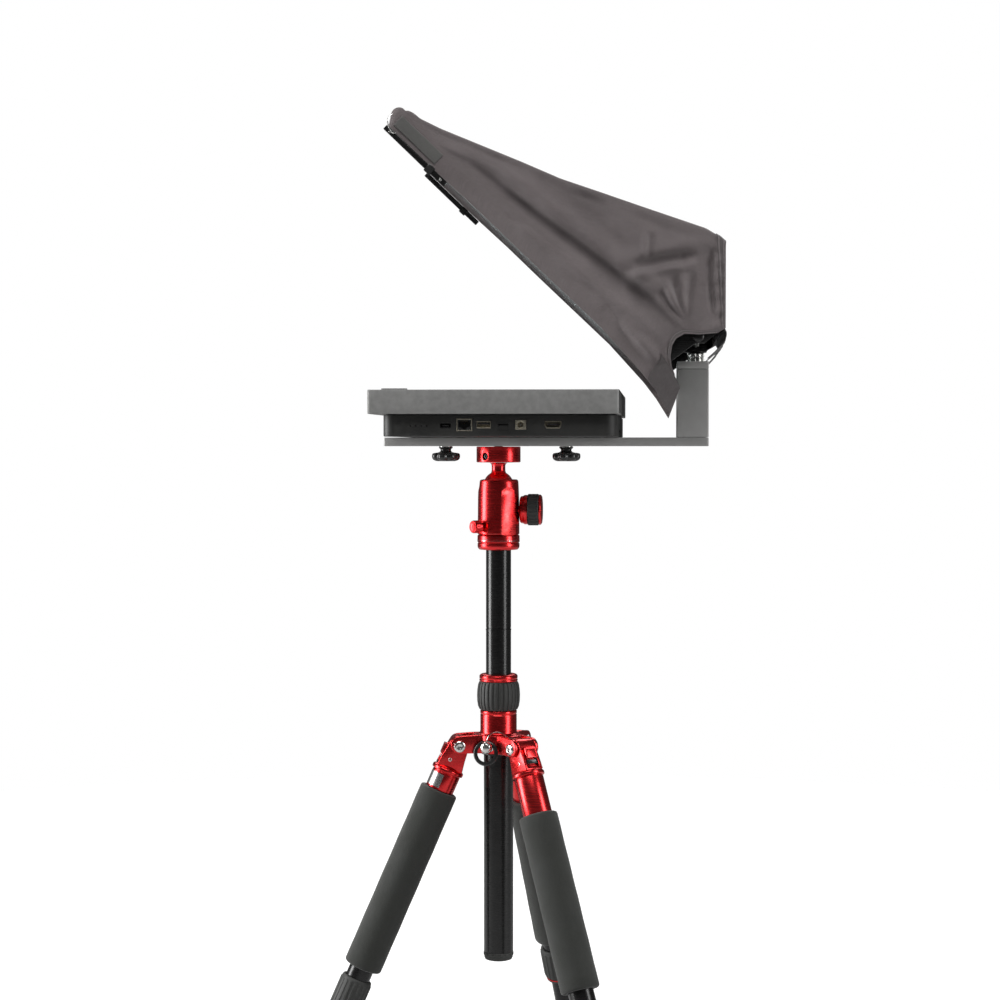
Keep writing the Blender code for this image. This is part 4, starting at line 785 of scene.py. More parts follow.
def make_crown():
    """Red crown: machined sleeve, hub and a pair of rounded ears for each leg."""
    crown = turned("crown", [
        (16.35, 38), (19.0, 38), (19.9, 37.4), (19.9, 34.6), (19.4, 34.2), (19.4, 33.6), (19.8, 33.2),
                             (19.8, 15.5),
        (20.6, 13.2), (22.6, 12.6), (HUB_RADIUS, 11.4), (HUB_RADIUS, -4.4), (22.8, -5.2), (22.8, -7.2),
                             (22.0, -8),
        (16.35, -8)], sides=96, closed=True)
    pieces = [moved(softened(crown, 0.3), HUB)]
    for side in ("left", "front", "rear"):
        points = [(16.8, -7.6)] + arc((43.4, 1.6), 9.6, -76, 82, 12) + [(33, 11.9), (25, 12.3), (16.8, 12.3)]
        for label, low, high in (("near", 11.3, 15.4), ("far", -15.4, -11.3)):
            ear = softened(outlined(f"ear_{side}_{label}", points, low, high), 0.9, 3)
            pieces.append(moved(ear, crown_place(side)))
        web = outlined(f"web_{side}", [(17, -7), (25.5, -7), (29.5, -2), (29.5, 9.6), (26, 12), (17, 12)],
                       -11.6, 11.6)
        pieces.append(moved(softened(web, 0.9, 2), crown_place(side)))
    fitted(joined("crown", *pieces), RED, "base", "crown")
    cap = turned("crown_seal", [(16.1, -8.1), (18.6, -8.1), (18.9, -8.5), (18.9, -9.4), (18.4, -9.9),
                                (16.1, -9.9)],
                 sides=64, closed=True)
    fitted(moved(softened(cap, 0.2), HUB), GLOSSY, "base")


def make_hook():
    """Polished weight hook knob on the crown, with a black ring on its neck and a bent wire keeper."""
    direction = Vector((math.cos(math.radians(-110.8)), math.sin(math.radians(-110.8)), 0))
    start = Vector((COLUMN.x, COLUMN.y, HINGE_Z))
    place = along(start, direction)
    knob = turned("hook_knob", [
        (2.9, 19.5), (2.9, 24.3), (5.6, 24.4), (5.8, 25.2), (3.7, 26.2), (3.5, 28.2), (5.9, 28.8),
                                (6.6, 30.2),
        (6.6, 32.0), (6.2, 33.6), (5.0, 35.3), (3.0, 36.2), (1.2, 36.4)], sides=48)
    fluted(knob, 48, 30.0, 32.4, 3, 1, -0.4, 0.1)
    fitted(moved(softened(knob, 0.15, 1), place), STEEL, "base", "hook_knob")
    ring = turned("hook_ring", [(9.4, -0.9)] + [(11.6 + 2.1 * math.cos(a), 1.3 * math.sin(a)) for a in
                                               [math.radians(-120 + 24 * i) for i in range(11)]]
                  + [(9.4, 0.9)],
                  sides=56, closed=True)
    hang = start + direction * 27.2 * MM + Vector((-2.2 * MM, -0.6 * MM, -6.4 * MM))
    tilt = along(hang, direction + Vector((0.22, 0, 0.12)))
    fitted(moved(ring, tilt), GLOSSY, "base")
    steps = [(-10.6, -23.6, 5.0), (-11.0, -25.8, 9.0), (-7.6, -25.4, 14.2), (-1.0, -24.6, 17.8),
             (5.6, -24.4, 15.6),
             (11.4, -25.0, 10.6), (17.2, -26.4, 8.9), (22.4, -29.4, 10.2), (24.8, -31.6, 8.2)]
    keeper = wire("hook_keeper_wire", [start + Vector(step) * MM for step in steps], 0.5)
    fitted(keeper, STEEL, "base")


def make_column():
    barrel = turned("column_lock", [
        (13.95, 0), (19.6, 0), (20.9, 0.9), (22.3, 4.0), (23.2, 9.5), (23.4, 16), (23.1, 22), (22.3, 27.5),
        (21.2, 30.2), (19.8, 31.0), (13.95, 31.0)], sides=112, closed=True)
    fluted(barrel, 112, 1.6, 29.4, 4, 2, -0.85, 0.2)
    lift = Matrix.Translation((COLUMN.x, COLUMN.y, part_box("column_lock")[0].z))
    fitted(moved(softened(barrel, 0.3, 2), lift), RUBBER, "column_lock", "column_lock")
    ring = turned("column_lock_ring", [
        (13.95, 31.2), (20.4, 31.2), (20.9, 31.7), (20.9, 33.0), (20.4, 33.5), (20.4, 34.0), (20.8, 34.5),
                                       (20.8, 37.0),
        (20.0, 38.2), (18.6, 38.9), (13.95, 38.9)], sides=80, closed=True)
    fitted(moved(softened(ring, 0.25), lift), RED, "column_lock")
    low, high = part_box("column_upper")
    top = (high.z - HINGE_Z) / MM
    joint = top - 86.5
    upper = turned("column_upper", [
        (12.3, top), (13.2, top), (13.6, top - 0.4), (13.6, joint + 1.6), (13.1, joint + 1.3),
                                    (13.1, joint + 0.6),
        (13.9, joint + 0.4), (13.9, joint - 0.9), (13.6, joint - 1.1), (13.6, (low.z - HINGE_Z) / MM),
        (12.3, (low.z - HINGE_Z) / MM)], sides=64, closed=True)
    fitted(moved(upper, HUB), BLACK, "column", "column_upper")
    low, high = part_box("column_lower")
    bottom = (low.z - HINGE_Z) / MM
    lower = turned("column_lower", [(14.7, 38), (16, 38), (16, bottom + 9), (14.7, bottom + 9)], sides=64,
                   closed=True)
    fitted(moved(lower, HUB), BLACK, "base", "column_lower")
    cap = turned("column_end_cap", [
        (14.4, bottom + 16), (14.4, bottom + 8.7), (16.2, bottom + 8.7), (16.4, bottom + 8),
                                    (16.4, bottom + 5.4),
        (15.6, bottom + 4.8), (15.6, bottom + 3), (14.4, bottom + 0.6), (12.6, bottom)], sides=64)
    fluted(cap, 64, bottom + 5.2, bottom + 8.2, 4, 2, -0.5)
    fitted(moved(softened(cap, 0.2), HUB), RUBBER, "base")


make_crown()
make_hook()
make_column()


# ---------------------------------------------------------------- ball head

def make_head():
    """Red head body with a milled flat and slot for the neck."""
    place = Matrix.Translation((COLUMN.x, COLUMN.y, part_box("head_body")[0].z))
    bowl = [(17.1 * math.cos(a), 52.3 + 17.1 * math.sin(a)) for a in
            [math.radians(26 - 104 * i / 12) for i in range(13)]]
    body = turned("head_body", [
        (21.6, 0), (22.6, 0.7), (22.7, 2.4), (22.5, 20), (22.3, 40), (21.9, 52), (21.6, 57.2), (20.9, 59.3),
        (19.4, 59.8), (17.6, 59.8)] + bowl + [(3.0, 34.4)], sides=96)
    flat_angle = math.radians(-55.3)
    facing = Matrix.Rotation(flat_angle + math.pi / 2, 4, "Z")
    points = [(-9.4, -5), (9.4, -5), (9.4, 42)] + arc((0, 42), 9.4, 8, 172, 14) + [(-9.4, 42)]
    cutter = outlined("milled_flat", points, -30, -20.55)
    drilled(body, moved(cutter, facing))
    slot = block("neck_slot", (-30, -8.4, 47), (-12, 8.4, 64))
    open_up(slot, "EDGE")
    pick_edges(slot, lambda a, b: a.z < 0.05 and b.z < 0.05 and abs(a.y - b.y) < 0.001)
    bpy.ops.mesh.bevel(offset=8.2 * MM, segments=8)
    drilled(body, slot)
    fitted(moved(softened(body, 0.35, 2, angle=38), place), RED, "head", "head_body", angle=38)
    pan_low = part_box("pan_base")[0].z
    base = turned("pan_base", [
        (20.6, 0), (22.2, 1.6), (22.8, 3.4), (22.8, 6.6), (22.4, 7.0), (22.0, 7.1), (22.0, 7.8), (22.4, 7.9),
        (22.9, 8.3), (22.9, 14.6), (22.4, 15.7), (21.0, 16.0)], sides=96)
    fitted(moved(softened(base, 0.2), Matrix.Translation((COLUMN.x, COLUMN.y, pan_low))), RED, "column",
           "pan_base")
    ticks = []
    for i in range(72):
        tall = 3.0 if i % 6 == 0 else 1.7
        tick = block("tick", (22.86, -0.14, 8.9), (22.98, 0.14, 8.9 + tall))
        ticks.append(moved(tick, Matrix.Rotation(math.tau * i / 72, 4, "Z")))
    scale = joined("pan_scale", *ticks)
    fitted(moved(scale, Matrix.Translation((COLUMN.x, COLUMN.y, pan_low))), FOIL, "column")


def make_lock_knob():
    """Large lock knob: red flange and cap with a knurled rubber grip between them."""
    joint = JOINTS["lock_knob_turn"]
    place = along(Vector(joint["pos_m"]), joint["axis"])
    knob = turned("lock_knob", [
        (4.4, -4.6), (4.4, 0.5), (11.0, 0.5), (13.4, 1.0), (14.8, 2.6), (14.8, 4.2), (15.6, 5.2), (16.0, 6.4),
        (16.0, 8.9), (14.0, 9.2), (14.0, 21.4), (16.3, 21.6), (16.6, 22.3), (16.2, 23.6), (14.4, 24.8),
                                (11.6, 25.2),
        (10.6, 24.7), (4.0, 24.5)], sides=80)
    fitted(moved(softened(knob, 0.25), place), RED, "lock_knob", "lock_knob")
    grip = turned("lock_knob_grip", [
        (14.25, 9.4), (16.4, 9.4), (17.1, 10.1), (17.1, 20.6), (16.4, 21.3), (14.25, 21.3)], sides=96,
                  closed=True)
    fluted(grip, 96, 10.0, 20.8, 4, 2, -0.55)
    fitted(moved(softened(grip, 0.22), place), RUBBER, "lock_knob", "lock_knob_grip")


def make_pan_knob():
    joint = JOINTS["pan_knob_turn"]
    place = along(Vector(joint["pos_m"]), joint["axis"])
    knob = turned("pan_knob", [
        (2.4, -4.6), (2.4, 0.5), (4.6, 0.5), (4.9, 1.2), (4.9, 3.0), (6.2, 3.9), (7.0, 4.6), (7.0, 11.4),
                               (6.6, 12.6),
        (5.6, 13.2), (4.9, 13.1), (4.4, 12.7), (1.5, 12.7)], sides=60)
    fluted(knob, 60, 4.8, 11.2, 5, 2, -0.3, 0.1)
    fitted(moved(softened(knob, 0.18), place), RED, "pan_knob", "pan_knob")


def make_ball():
    """Ball, waisted neck and the round platform under the plate."""
    sphere = [(16.75 * math.cos(a), 16.75 * math.sin(a)) for a in
              [math.radians(-86 + 172 * i / 30) for i in range(31)]]
    ball = turned("ball", sphere, sides=64)
    fitted(moved(ball, Matrix.Translation(BALL)), RED, "ball", "ball", angle=60)
    platform_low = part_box("platform")[0]
    rise = (platform_low.z - BALL.z) / MM
    neck = turned("stem", [(8.3, 14.9), (7.6, 16.2), (7.4, 18.0), (7.4, 22.4), (8.0, 24.4),
                           (9.6, rise - 0.35)], 56)
    fitted(moved(neck, Matrix.Translation(BALL)), RED, "prompter", "stem")
    top = (BASE - platform_low.z) / MM - 0.3
    plate = turned("platform", [(22.9, 0), (23.9, 0.8), (23.9, top - 0.6), (23.4, top), (4.6, top),
                                (4.6, top + 7)],
                   sides=96)
    recess = Matrix.Rotation(math.radians(-123.5), 4, "Z") @ Matrix.Rotation(math.pi / 2, 4, "Y")
    hole = turned("screw_hole", [(3.9, 20.5), (3.9, 30)], sides=32)
    middle = Matrix.Translation((0, 0, 6.6 * MM))
    drilled(plate, moved(hole, middle @ recess))
    lift = Matrix.Translation((COLUMN.x, COLUMN.y, platform_low.z))
    fitted(moved(softened(plate, 0.25), lift), RED, "prompter", "platform")
    screw = set_screw("platform_screw", 3.3, 2.0)
    sunk = Matrix.Translation((0, 0, 22.2 * MM))
    fitted(moved(screw, lift @ middle @ recess @ sunk), BLACK, "prompter")


make_head()
make_lock_knob()
make_pan_knob()
make_ball()


# ---------------------------------------------------------------- plate and monitor

# Sizes from here on are millimetres from the column's axis and the plate's underside.
PLATE = Matrix.Translation((COLUMN.x, COLUMN.y, BASE))


def box_mm(node):
    """A CAD node's two corners in the plate's frame, in millimetres."""
    origin = Vector((COLUMN.x, COLUMN.y, BASE))
    return [(corner - origin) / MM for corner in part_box(node)]


def round_corners(low, high, radius, steps=5):
    """A rectangle's outline with round corners."""
    (x0, z0), (x1, z1) = low, high
    points = []
    for middle, start in (((x1 - radius, z0 + radius), -90), ((x1 - radius, z1 - radius), 0),
                          ((x0 + radius, z1 - radius), 90), ((x0 + radius, z0 + radius), 180)):
        points += arc(middle, radius, start, start + 90, steps)
    return points


def slab(name, low, high, radius, steps=5):
    """A block between two corners with round upright edges."""
    points = round_corners((low[0], low[1]), (high[0], high[1]), radius, steps)
    return moved(outlined(name, points, -high[2], -low[2]), Matrix.Rotation(-math.pi / 2, 4, "X"))


def toned(obj, finish, test):
    """Gives the faces that pass the test a second finish of the same slot."""
    obj.data.materials.append(finish)
    for face in obj.data.polygons:
        if test(face.center, face.normal):
            face.material_index = 1
    return obj


def inside(corner, other, gap=0.1):
    """Two corners drawn in by a gap on every side."""
    return [value + gap for value in corner], [value - gap for value in other]


def make_plate():
    """Long grey mounting plate with two slots for the thumb screws."""
    low, high = inside(*box_mm("base_plate"), 0.08)
    plate = slab("base_plate", low, high, 1.6, 3)
    plate = softened(plate, 0.55, 2)
    for knob in ("left", "right"):
        knob_low, knob_high = box_mm(f"thumb_knob_{knob}")
        middle = (knob_low.x + knob_high.x) / 2
        drilled(plate, slab("slot", (middle - 13, -3.3, -2), (middle + 13, 3.3, 14), 3.25, 8))
        drilled(plate, slab("slot_step", (middle - 14, -4.4, -2), (middle + 14, 4.4, 0.9), 4.35, 8))
    drilled(plate, turned("middle_hole", [(4.9, -1), (4.9, 9.0), (7.2, 9.05), (7.2, 11)], sides=40))
    fitted(moved(plate, PLATE), GREY, "prompter", "base_plate")


def make_thumb_knob(label):
    """Glossy thumb screw: lobed head, waisted neck and a steel thread."""
    low, high = box_mm(f"thumb_knob_{label}")
    middle = Vector(((low.x + high.x) / 2, 0, -0.3))
    place = PLATE @ Matrix.Translation(middle * MM)
    knob = turned(f"thumb_knob_{label}", [
        (3.1, -0.4), (6.9, -0.4), (7.6, -0.9), (7.6, -1.6), (6.0, -2.6), (5.6, -4.2), (6.4, -5.6),
                                          (8.4, -6.4),
        (12.2, -6.9), (14.2, -7.3), (15.2, -8.2), (15.45, -9.6), (15.45, -11.4), (15.1, -12.8), (14.0, -14.4),
        (12.0, -15.4), (9.6, -15.9), (8.4, -15.9), (8.0, -15.2), (3.0, -15.0)], sides=112)
    lobed(knob, -16, -6.2, 7, 2.3)
    fitted(moved(softened(knob, 0.2, 1, 45), place), GLOSSY, f"thumb_knob_{label}", f"thumb_knob_{label}",
           angle=50)
    top = (high.z + 0.3) - 0.1
    turns = []
    height = -0.4
    while height < top - 1.2:
        turns += [(2.95, height + 0.3), (2.5, height + 0.7)]
        height += 0.8
    thread = turned(f"thumb_screw_{label}", [(2.5, -0.5)] + turns + [(2.5, top - 0.5), (2.0, top)], sides=28)
    fitted(moved(thread, place), STEEL, f"thumb_knob_{label}", angle=50)
    washer = turned(f"thumb_washer_{label}", [(3.2, -0.35), (7.2, -0.35), (7.2, 0.35), (3.2, 0.35)], 48,
                    closed=True)
    fitted(moved(softened(washer, 0.15), place), STEEL, f"thumb_knob_{label}")


PORT_FACE = -180
MINI_PORT = (-40.4, 20.8)
CARD_SLOT = (17.6, 20.4)


def make_case():
    """Dark lower case of the monitor with rounded upright edges, port openings and vents."""
    low, high = inside(*box_mm("monitor_case"), 0.12)
    case = softened(slab("monitor_case", low, high, 11, 8), 1.1, 3, 40)
    cutters = []
    for port in ("port_ethernet", "port_usb", "port_dc"):
        start, end = box_mm(port)
        cutters.append(block("opening", (start.x - 0.25, PORT_FACE - 4, start.z - 0.25),
                             (end.x + 0.25, end.y + 0.6, end.z + 0.25)))
    cutters.append(outlined("opening", hdmi_outline(0.3), PORT_FACE - 4, PORT_FACE + 15))
    x, z = MINI_PORT
    cutters.append(block("opening", (x - 5.6, PORT_FACE - 4, z - 2.6), (x + 5.6, PORT_FACE + 9, z + 2.6)))
    x, z = CARD_SLOT
    cutters.append(slab("opening", (x - 6.2, PORT_FACE - 4, z - 4.4), (x + 6.2, PORT_FACE + 0.7, z + 4.4),
                        0.4, 2))
    cutters.append(block("opening", (x - 5.0, PORT_FACE - 4, z + 0.6), (x + 5.0, PORT_FACE + 9, z + 1.9)))
    for x in (-75.6, -70.2, -64.8, -59.4):
        hole = turned("light_hole", [(0.75, -3), (0.75, 3)], sides=20)
        turn = Matrix.Translation(Vector((x, PORT_FACE, 20.6)) * MM) @ Matrix.Rotation(math.pi / 2, 4, "X")
        cutters.append(moved(hole, turn))
    drilled(case, *cutters)
    vents = []
    for i in range(22):
        x = -70 + 8 * i
        vents.append(slab("vent", (x - 1.4, 176, 14.5), (x + 1.4, 184, 27.5), 1.35, 4))
    for i in range(12):
        y = -66 + 12 * i
        vents.append(slab("vent", (128, y - 3.6, 15), (136, y + 3.6, 17.6), 1.2, 4))
    drilled(case, joined("vents", *vents))
    fitted(moved(case, PLATE), SHELL, "prompter", "monitor_case")


def hdmi_outline(grow):
    """The trapezoid of the widest socket, grown by a gap."""
    low, high = box_mm("port_hdmi")
    x, z = (low.x + high.x) / 2, (low.z + high.z) / 2
    half, tall = (high.x - low.x) / 2 + grow, (high.z - low.z) / 2 + grow
    return [(x - half, z + tall), (x - half, z - 0.1 * tall), (x - half + 2.0, z - tall),
            (x + half - 2.0, z - tall), (x + half, z - 0.1 * tall), (x + half, z + tall)]


def make_ports():
    """Sockets in the near wall: plated shells, dark liners and gold contacts."""
    low, high = box_mm("port_ethernet")
    x, z = (low.x + high.x) / 2, (low.z + high.z) / 2
    shell = block("port_ethernet", *inside(low, high, 0.05))
    drilled(shell, block("room", (x - 6.9, PORT_FACE - 2, z - 5.4), (x + 6.9, PORT_FACE + 12, z + 5.2)))
    fitted(moved(softened(shell, 0.15), PLATE), NICKEL, "prompter", "port_ethernet")
    liner = block("port_ethernet_liner", (x - 6.85, PORT_FACE + 0.5, z - 5.35),
                  (x + 6.85, PORT_FACE + 11.9, z + 5.15))
    jack = [(-5.9, -2.4), (-3.1, -2.4), (-3.1, -3.7), (-1.6, -3.7), (-1.6, -4.8), (1.6, -4.8), (1.6, -3.7),
            (3.1, -3.7),
            (3.1, -2.4), (5.9, -2.4), (5.9, 4.2), (-5.9, 4.2)]
    drilled(liner, outlined("jack", [(x + a, z + b) for a, b in jack], PORT_FACE - 2, PORT_FACE + 10.5))
    fitted(moved(softened(liner, 0.12), PLATE), GLOSSY, "prompter")
    pins = []
    for i in range(8):
        pin_x = x - 3.57 + 1.02 * i
        ends = [(pin_x, PORT_FACE + 1.6, z + 3.9), (pin_x, PORT_FACE + 3.4, z + 3.7),
                (pin_x, PORT_FACE + 9.6, z + 0.6)]
        pins.append(wire("pin", [Vector(end) * MM for end in ends], 0.16, 4))
    fitted(moved(joined("port_ethernet_pins", *pins), PLATE), GOLD, "prompter")
    low, high = box_mm("port_usb")
    x, z = (low.x + high.x) / 2, (low.z + high.z) / 2
    shell = block("port_usb", *inside(low, high, 0.05))
    drilled(shell, block("room", (x - 6.5, PORT_FACE - 2, z - 2.8), (x + 6.5, PORT_FACE + 12, z + 2.8)))
    fitted(moved(softened(shell, 0.2), PLATE), NICKEL, "prompter", "port_usb")
    tongue = block("port_usb_tongue", (x - 5.7, PORT_FACE + 1.2, z + 0.3),
                   (x + 5.7, PORT_FACE + 11.8, z + 2.1))
    fitted(moved(softened(tongue, 0.2), PLATE), GLOSSY, "prompter")
    pads = [softened(block("pad", (x + a - 0.5, PORT_FACE + 2, z + 0.14),
                           (x + a + 0.5, PORT_FACE + 10, z + 0.28)), 0.04)
            for a in (-3.6, -1.2, 1.2, 3.6)]
    fitted(moved(joined("port_usb_pads", *pads), PLATE), GOLD, "prompter")
    low, high = box_mm("port_dc")
    x, z = (low.x + high.x) / 2, (low.z + high.z) / 2
    shell = block("port_dc", *inside(low, high, 0.05))
    front = Matrix.Translation(Vector((x, PORT_FACE, z)) * MM) @ Matrix.Rotation(-math.pi / 2, 4, "X")
    drilled(shell, moved(turned("jack", [(3.4, -2), (3.4, 0.4), (2.9, 0.9), (2.9, 11)], sides=40), front))
    fitted(moved(softened(shell, 0.3), PLATE), NICKEL, "prompter", "port_dc")
    pin = turned("port_dc_pin", [(1.0, 11.2), (1.0, 2.2), (0.6, 1.6)], sides=24)
    fitted(moved(pin, PLATE @ front), STEEL, "prompter")
    shell = outlined("port_hdmi", hdmi_outline(-0.05), PORT_FACE + 0.1, PORT_FACE + 13.9)
    drilled(shell, outlined("room", hdmi_outline(-0.75), PORT_FACE - 2, PORT_FACE + 12))
    fitted(moved(softened(shell, 0.15), PLATE), NICKEL, "prompter", "port_hdmi")
    low, high = box_mm("port_hdmi")
    x, z = (low.x + high.x) / 2, (low.z + high.z) / 2
    tongue = block("port_hdmi_tongue", (x - 5.8, PORT_FACE + 1.4, z - 0.5),
                   (x + 5.8, PORT_FACE + 11.9, z + 1.1))
    fitted(moved(softened(tongue, 0.2), PLATE), GLOSSY, "prompter")
    x, z = MINI_PORT
    shell = block("port_mini", (x - 5.5, PORT_FACE + 0.3, z - 2.5), (x + 5.5, PORT_FACE + 8.6, z + 2.5))
    drilled(shell, block("room", (x - 4.9, PORT_FACE - 2, z - 1.9), (x + 4.9, PORT_FACE + 8, z + 1.9)))
    fitted(moved(softened(shell, 0.25), PLATE), BLACK, "prompter")
    tongue = block("port_mini_tongue", (x - 3.6, PORT_FACE + 1.4, z - 0.5), (x + 3.6, PORT_FACE + 8, z + 0.5))
    fitted(moved(softened(tongue, 0.15), PLATE), GLOSSY, "prompter")


def make_bezel():
    """Grey bezel with painted shade on its right end faces, its window, the display and a low pad on top."""
    low, high = inside(*box_mm("monitor_bezel"), 0.1)
    bezel = slab("monitor_bezel", low, high, 3.2, 5)
    screen_low, screen_high = box_mm("lcd_panel")
    lip = 8
    window = slab("window", (screen_low.x + lip, screen_low.y + lip, 40),
                  (screen_high.x - lip, screen_high.y - lip, 62), 1.5, 3)
    pocket = block("pocket", (screen_low.x - 0.3, screen_low.y - 0.3, screen_low.z - 0.4),
                   (screen_high.x + 0.3, screen_high.y + 0.3, screen_high.z + 0.1))
    drilled(softened(bezel, 0.9, 3, 40), window, pocket)
    fitted(moved(softened(bezel, 0.35, 2, 60), PLATE), BEZEL, "prompter", "monitor_bezel")
    # Faces turned to +X at the right end get the darker copy: painted shade.
    toned(bezel, BEZEL_SHADED_END, lambda middle, normal: normal.x > 0.72 and middle.x > cad_high.x / 3)
    screen = softened(block("lcd_panel", *inside(screen_low, screen_high, 0.1)), 0.4)
    fitted(moved(screen, PLATE), DISPLAY, "prompter", "lcd_panel")
    pad = slab("bezel_pad", (-105, -186, high[2] - 0.4), (-79, -176, high[2] + 1.4), 3, 5)
    fitted(moved(softened(pad, 0.5), PLATE), BEZEL, "prompter")


def make_upright():
    """Grey upright with its cap, post, knurled nut and tilt block."""
    low, high = inside(*box_mm("upright"), 0.08)
    upright = softened(slab("upright", low, high, 1.4, 3), 0.4)
    drilled(upright, slab("hollow", (low[0] + 3, low[1] + 3, low[2] - 2),
                          (high[0] - 3, high[1] - 3, high[2] + 2), 1, 2))
    fitted(moved(upright, PLATE), GREY, "prompter", "upright")
    low, high = inside(*box_mm("upright_cap"), 0.08)
    cap = softened(slab("upright_cap", low, high, 1.4, 3), 0.5)
    middle = PIVOT.x - COLUMN.x
    post_place = PLATE @ Matrix.Translation((middle, 0, 0))
    drilled(cap, moved(turned("bore", [(5.15, low[2] - 2), (5.15, high[2] + 2)], sides=40),
                       Matrix.Translation((middle, 0, 0))))
    fitted(moved(cap, PLATE), GREY, "prompter", "upright_cap")
    for number, y in enumerate((-48, 48)):
        screw = set_screw(f"cap_screw_{number}", 2.6, 1.0)
        fitted(moved(screw, PLATE @ Matrix.Translation(Vector((209.3, y, high[2] + 0.15)) * MM)), STEEL,
               "prompter")
    low, high = box_mm("post")
    post = turned("post", [(4.4, low.z + 0.1), (4.95, low.z + 0.7), (4.95, high.z - 0.7),
                           (4.4, high.z - 0.1)], sides=40)
    fitted(moved(post, post_place), BLACK, "prompter", "post")
    low, high = box_mm("knurled_nut")
    nut = turned("knurled_nut", [
        (5.2, low.z + 0.1), (8.3, low.z + 0.1), (9.1, low.z + 1.0), (9.1, low.z + 4.3), (8.4, low.z + 4.7),
        (8.4, low.z + 5.9), (9.1, low.z + 6.3), (9.1, high.z - 1.0), (8.3, high.z - 0.1),
                                 (5.2, high.z - 0.1)],
        sides=72, closed=True)
    fluted(nut, 72, low.z + 1.0, high.z - 1.0, 3, 1, -0.5, 0.08)
    fitted(moved(softened(nut, 0.12, 1), post_place), STEEL, "nut", "knurled_nut")
    low, high = box_mm("tilt_block")
    x = (low.x + high.x) / 2
    half = (high.x - low.x) / 2 - 0.1
    points = [(x - half, low.z + 0.1), (x + half, low.z + 0.1), (x + half, high.z - 6)]
    points += arc((x + half - 5.8, high.z - 6), 5.8, 8, 90, 6) + arc((x - half + 5.8, high.z - 6), 5.8, 90,
                                                                     172, 6)
    points += [(x - half, high.z - 6)]
    tilt = softened(outlined("tilt_block", points, low.y + 0.1, high.y - 0.1), 0.6)
    bore = moved(turned("bore", [(3.7, -40), (3.7, 40)], sides=40),
                 Matrix.Translation(Vector((middle / MM, 0, (PIVOT.z - BASE) / MM)) * MM)
                 @ Matrix.Rotation(math.pi / 2, 4, "X"))
    drilled(tilt, bore, block("split", (x - half - 2, -16, PIVOT.z / MM - BASE / MM - 0.5),
                              (x - 2, 16, PIVOT.z / MM - BASE / MM + 0.5)))
    fitted(moved(tilt, PLATE), BLACK, "prompter", "tilt_block")
    for number, y in enumerate((-9, 9)):
        screw = set_screw(f"tilt_screw_{number}", 2.2, 1.1)
        top = Matrix.Translation(Vector((x - 8.0, y, high.z - 1.0))
                                 * MM) @ Matrix.Rotation(math.radians(-22), 4, "Y")
        fitted(moved(screw, PLATE @ top), STEEL, "prompter")


def keep_board():
    """The board inside the case keeps its CAD shape."""
    board = bpy.data.objects["main_board"]
    for slot in board.material_slots:
        slot.material = BOARD


make_plate()
for knob in ("left", "right"):
    make_thumb_knob(knob)
make_case()
make_ports()
make_bezel()
make_upright()
keep_board()


# ---------------------------------------------------------------- glass, arms and rods

SLOPE = (Matrix.Translation(SLOPE_FOOT)
         @ Matrix((SLOPE_UP, SLOPE_OUT.cross(SLOPE_UP), SLOPE_OUT)).transposed().to_4x4())
RUN = FRAME_LENGTH / MM
RAIL = (slope_high.y - slope_low.y) / 2 / MM
BAR = 12


def on_slope(run, out):
    """A point up the slope and out from it, as (x, z) in the plate's frame."""
    point = SLOPE_FOOT + (SLOPE_UP * run + SLOPE_OUT * out) * MM
    return (point.x - COLUMN.x) / MM, (point.z - BASE) / MM


def make_glass():
    """Black frame with a rebate, its glass and screws at the corners."""
    low, high = FRAME_BACK / MM, FRAME_FACE / MM
    holder = block("glass_frame", (0.1, 0.1 - RAIL, low + 0.05), (RUN - 0.1, RAIL - 0.1, high - 0.05))
    drilled(softened(holder, 0.5), block("window", (BAR, BAR - RAIL, low - 3),
                                         (RUN - BAR, RAIL - BAR, high + 3)))
    drilled(holder, block("rebate", (8.3, 8.3 - RAIL, low - 3), (RUN - 8.3, RAIL - 8.3, low + 3.15)))
    fitted(moved(softened(holder, 0.3, 2, 60), SLOPE), BLACK, "glass_hood", "glass_frame")
    pane = block("glass", (8.6, 8.6 - RAIL, low + 0.02), (RUN - 8.6, RAIL - 8.6, low + 2.98))
    fitted(moved(softened(pane, 0.35), SLOPE), GLASS, "glass_hood", "glass")
    number = 0
    for run in (6, 0.5 * RUN, RUN - 6):
        for across in (6 - RAIL, RAIL - 6):
            screw = set_screw(f"frame_screw_{number}", 1.8, 0.9)
            fitted(moved(screw, SLOPE @ Matrix.Translation(Vector((run, across, high + 0.25)) * MM)), STEEL,
                   "glass_hood")
            number += 1


def make_clamp(label, sign):
    """Flat bar that grips the hood's front edge, with two screws and a spring clip."""
    start, end = RUN - 83.9, RUN - 0.1
    low_y, high_y = sorted((sign * 190.4, sign * 194.2))
    bar = softened(block(f"clamp_{label}", (start, low_y, -2.9), (end, high_y, 2.9)), 0.9, 3)
    fitted(moved(bar, SLOPE), BLACK, "glass_hood", f"clamp_{label}")
    outer = sign * 194.2
    for number, run in enumerate((start + 7, end - 7)):
        screw = set_screw(f"clamp_screw_{label}_{number}", 1.7, 0.9)
        face = Matrix.Translation(Vector((run, outer + sign * 0.1, 0)) * MM) @ Matrix.Rotation(-sign
                                                                                               * math.pi
                                                                                               / 2, 4, "X")
        fitted(moved(screw, SLOPE @ face), STEEL, "glass_hood")
    low_y, high_y = sorted((sign * 190.2, sign * 195.4))
    clip = softened(block(f"clip_{label}", (start + 18, low_y, -4.6), (start + 26, high_y, 4.4)), 0.8, 2)
    drilled(clip, block("bite", (start + 16, min(0, sign * 194.3), -3.1),
                        (start + 28, max(0, sign * 194.3), 3.1)))
    fitted(moved(clip, SLOPE), GLOSSY, "glass_hood")


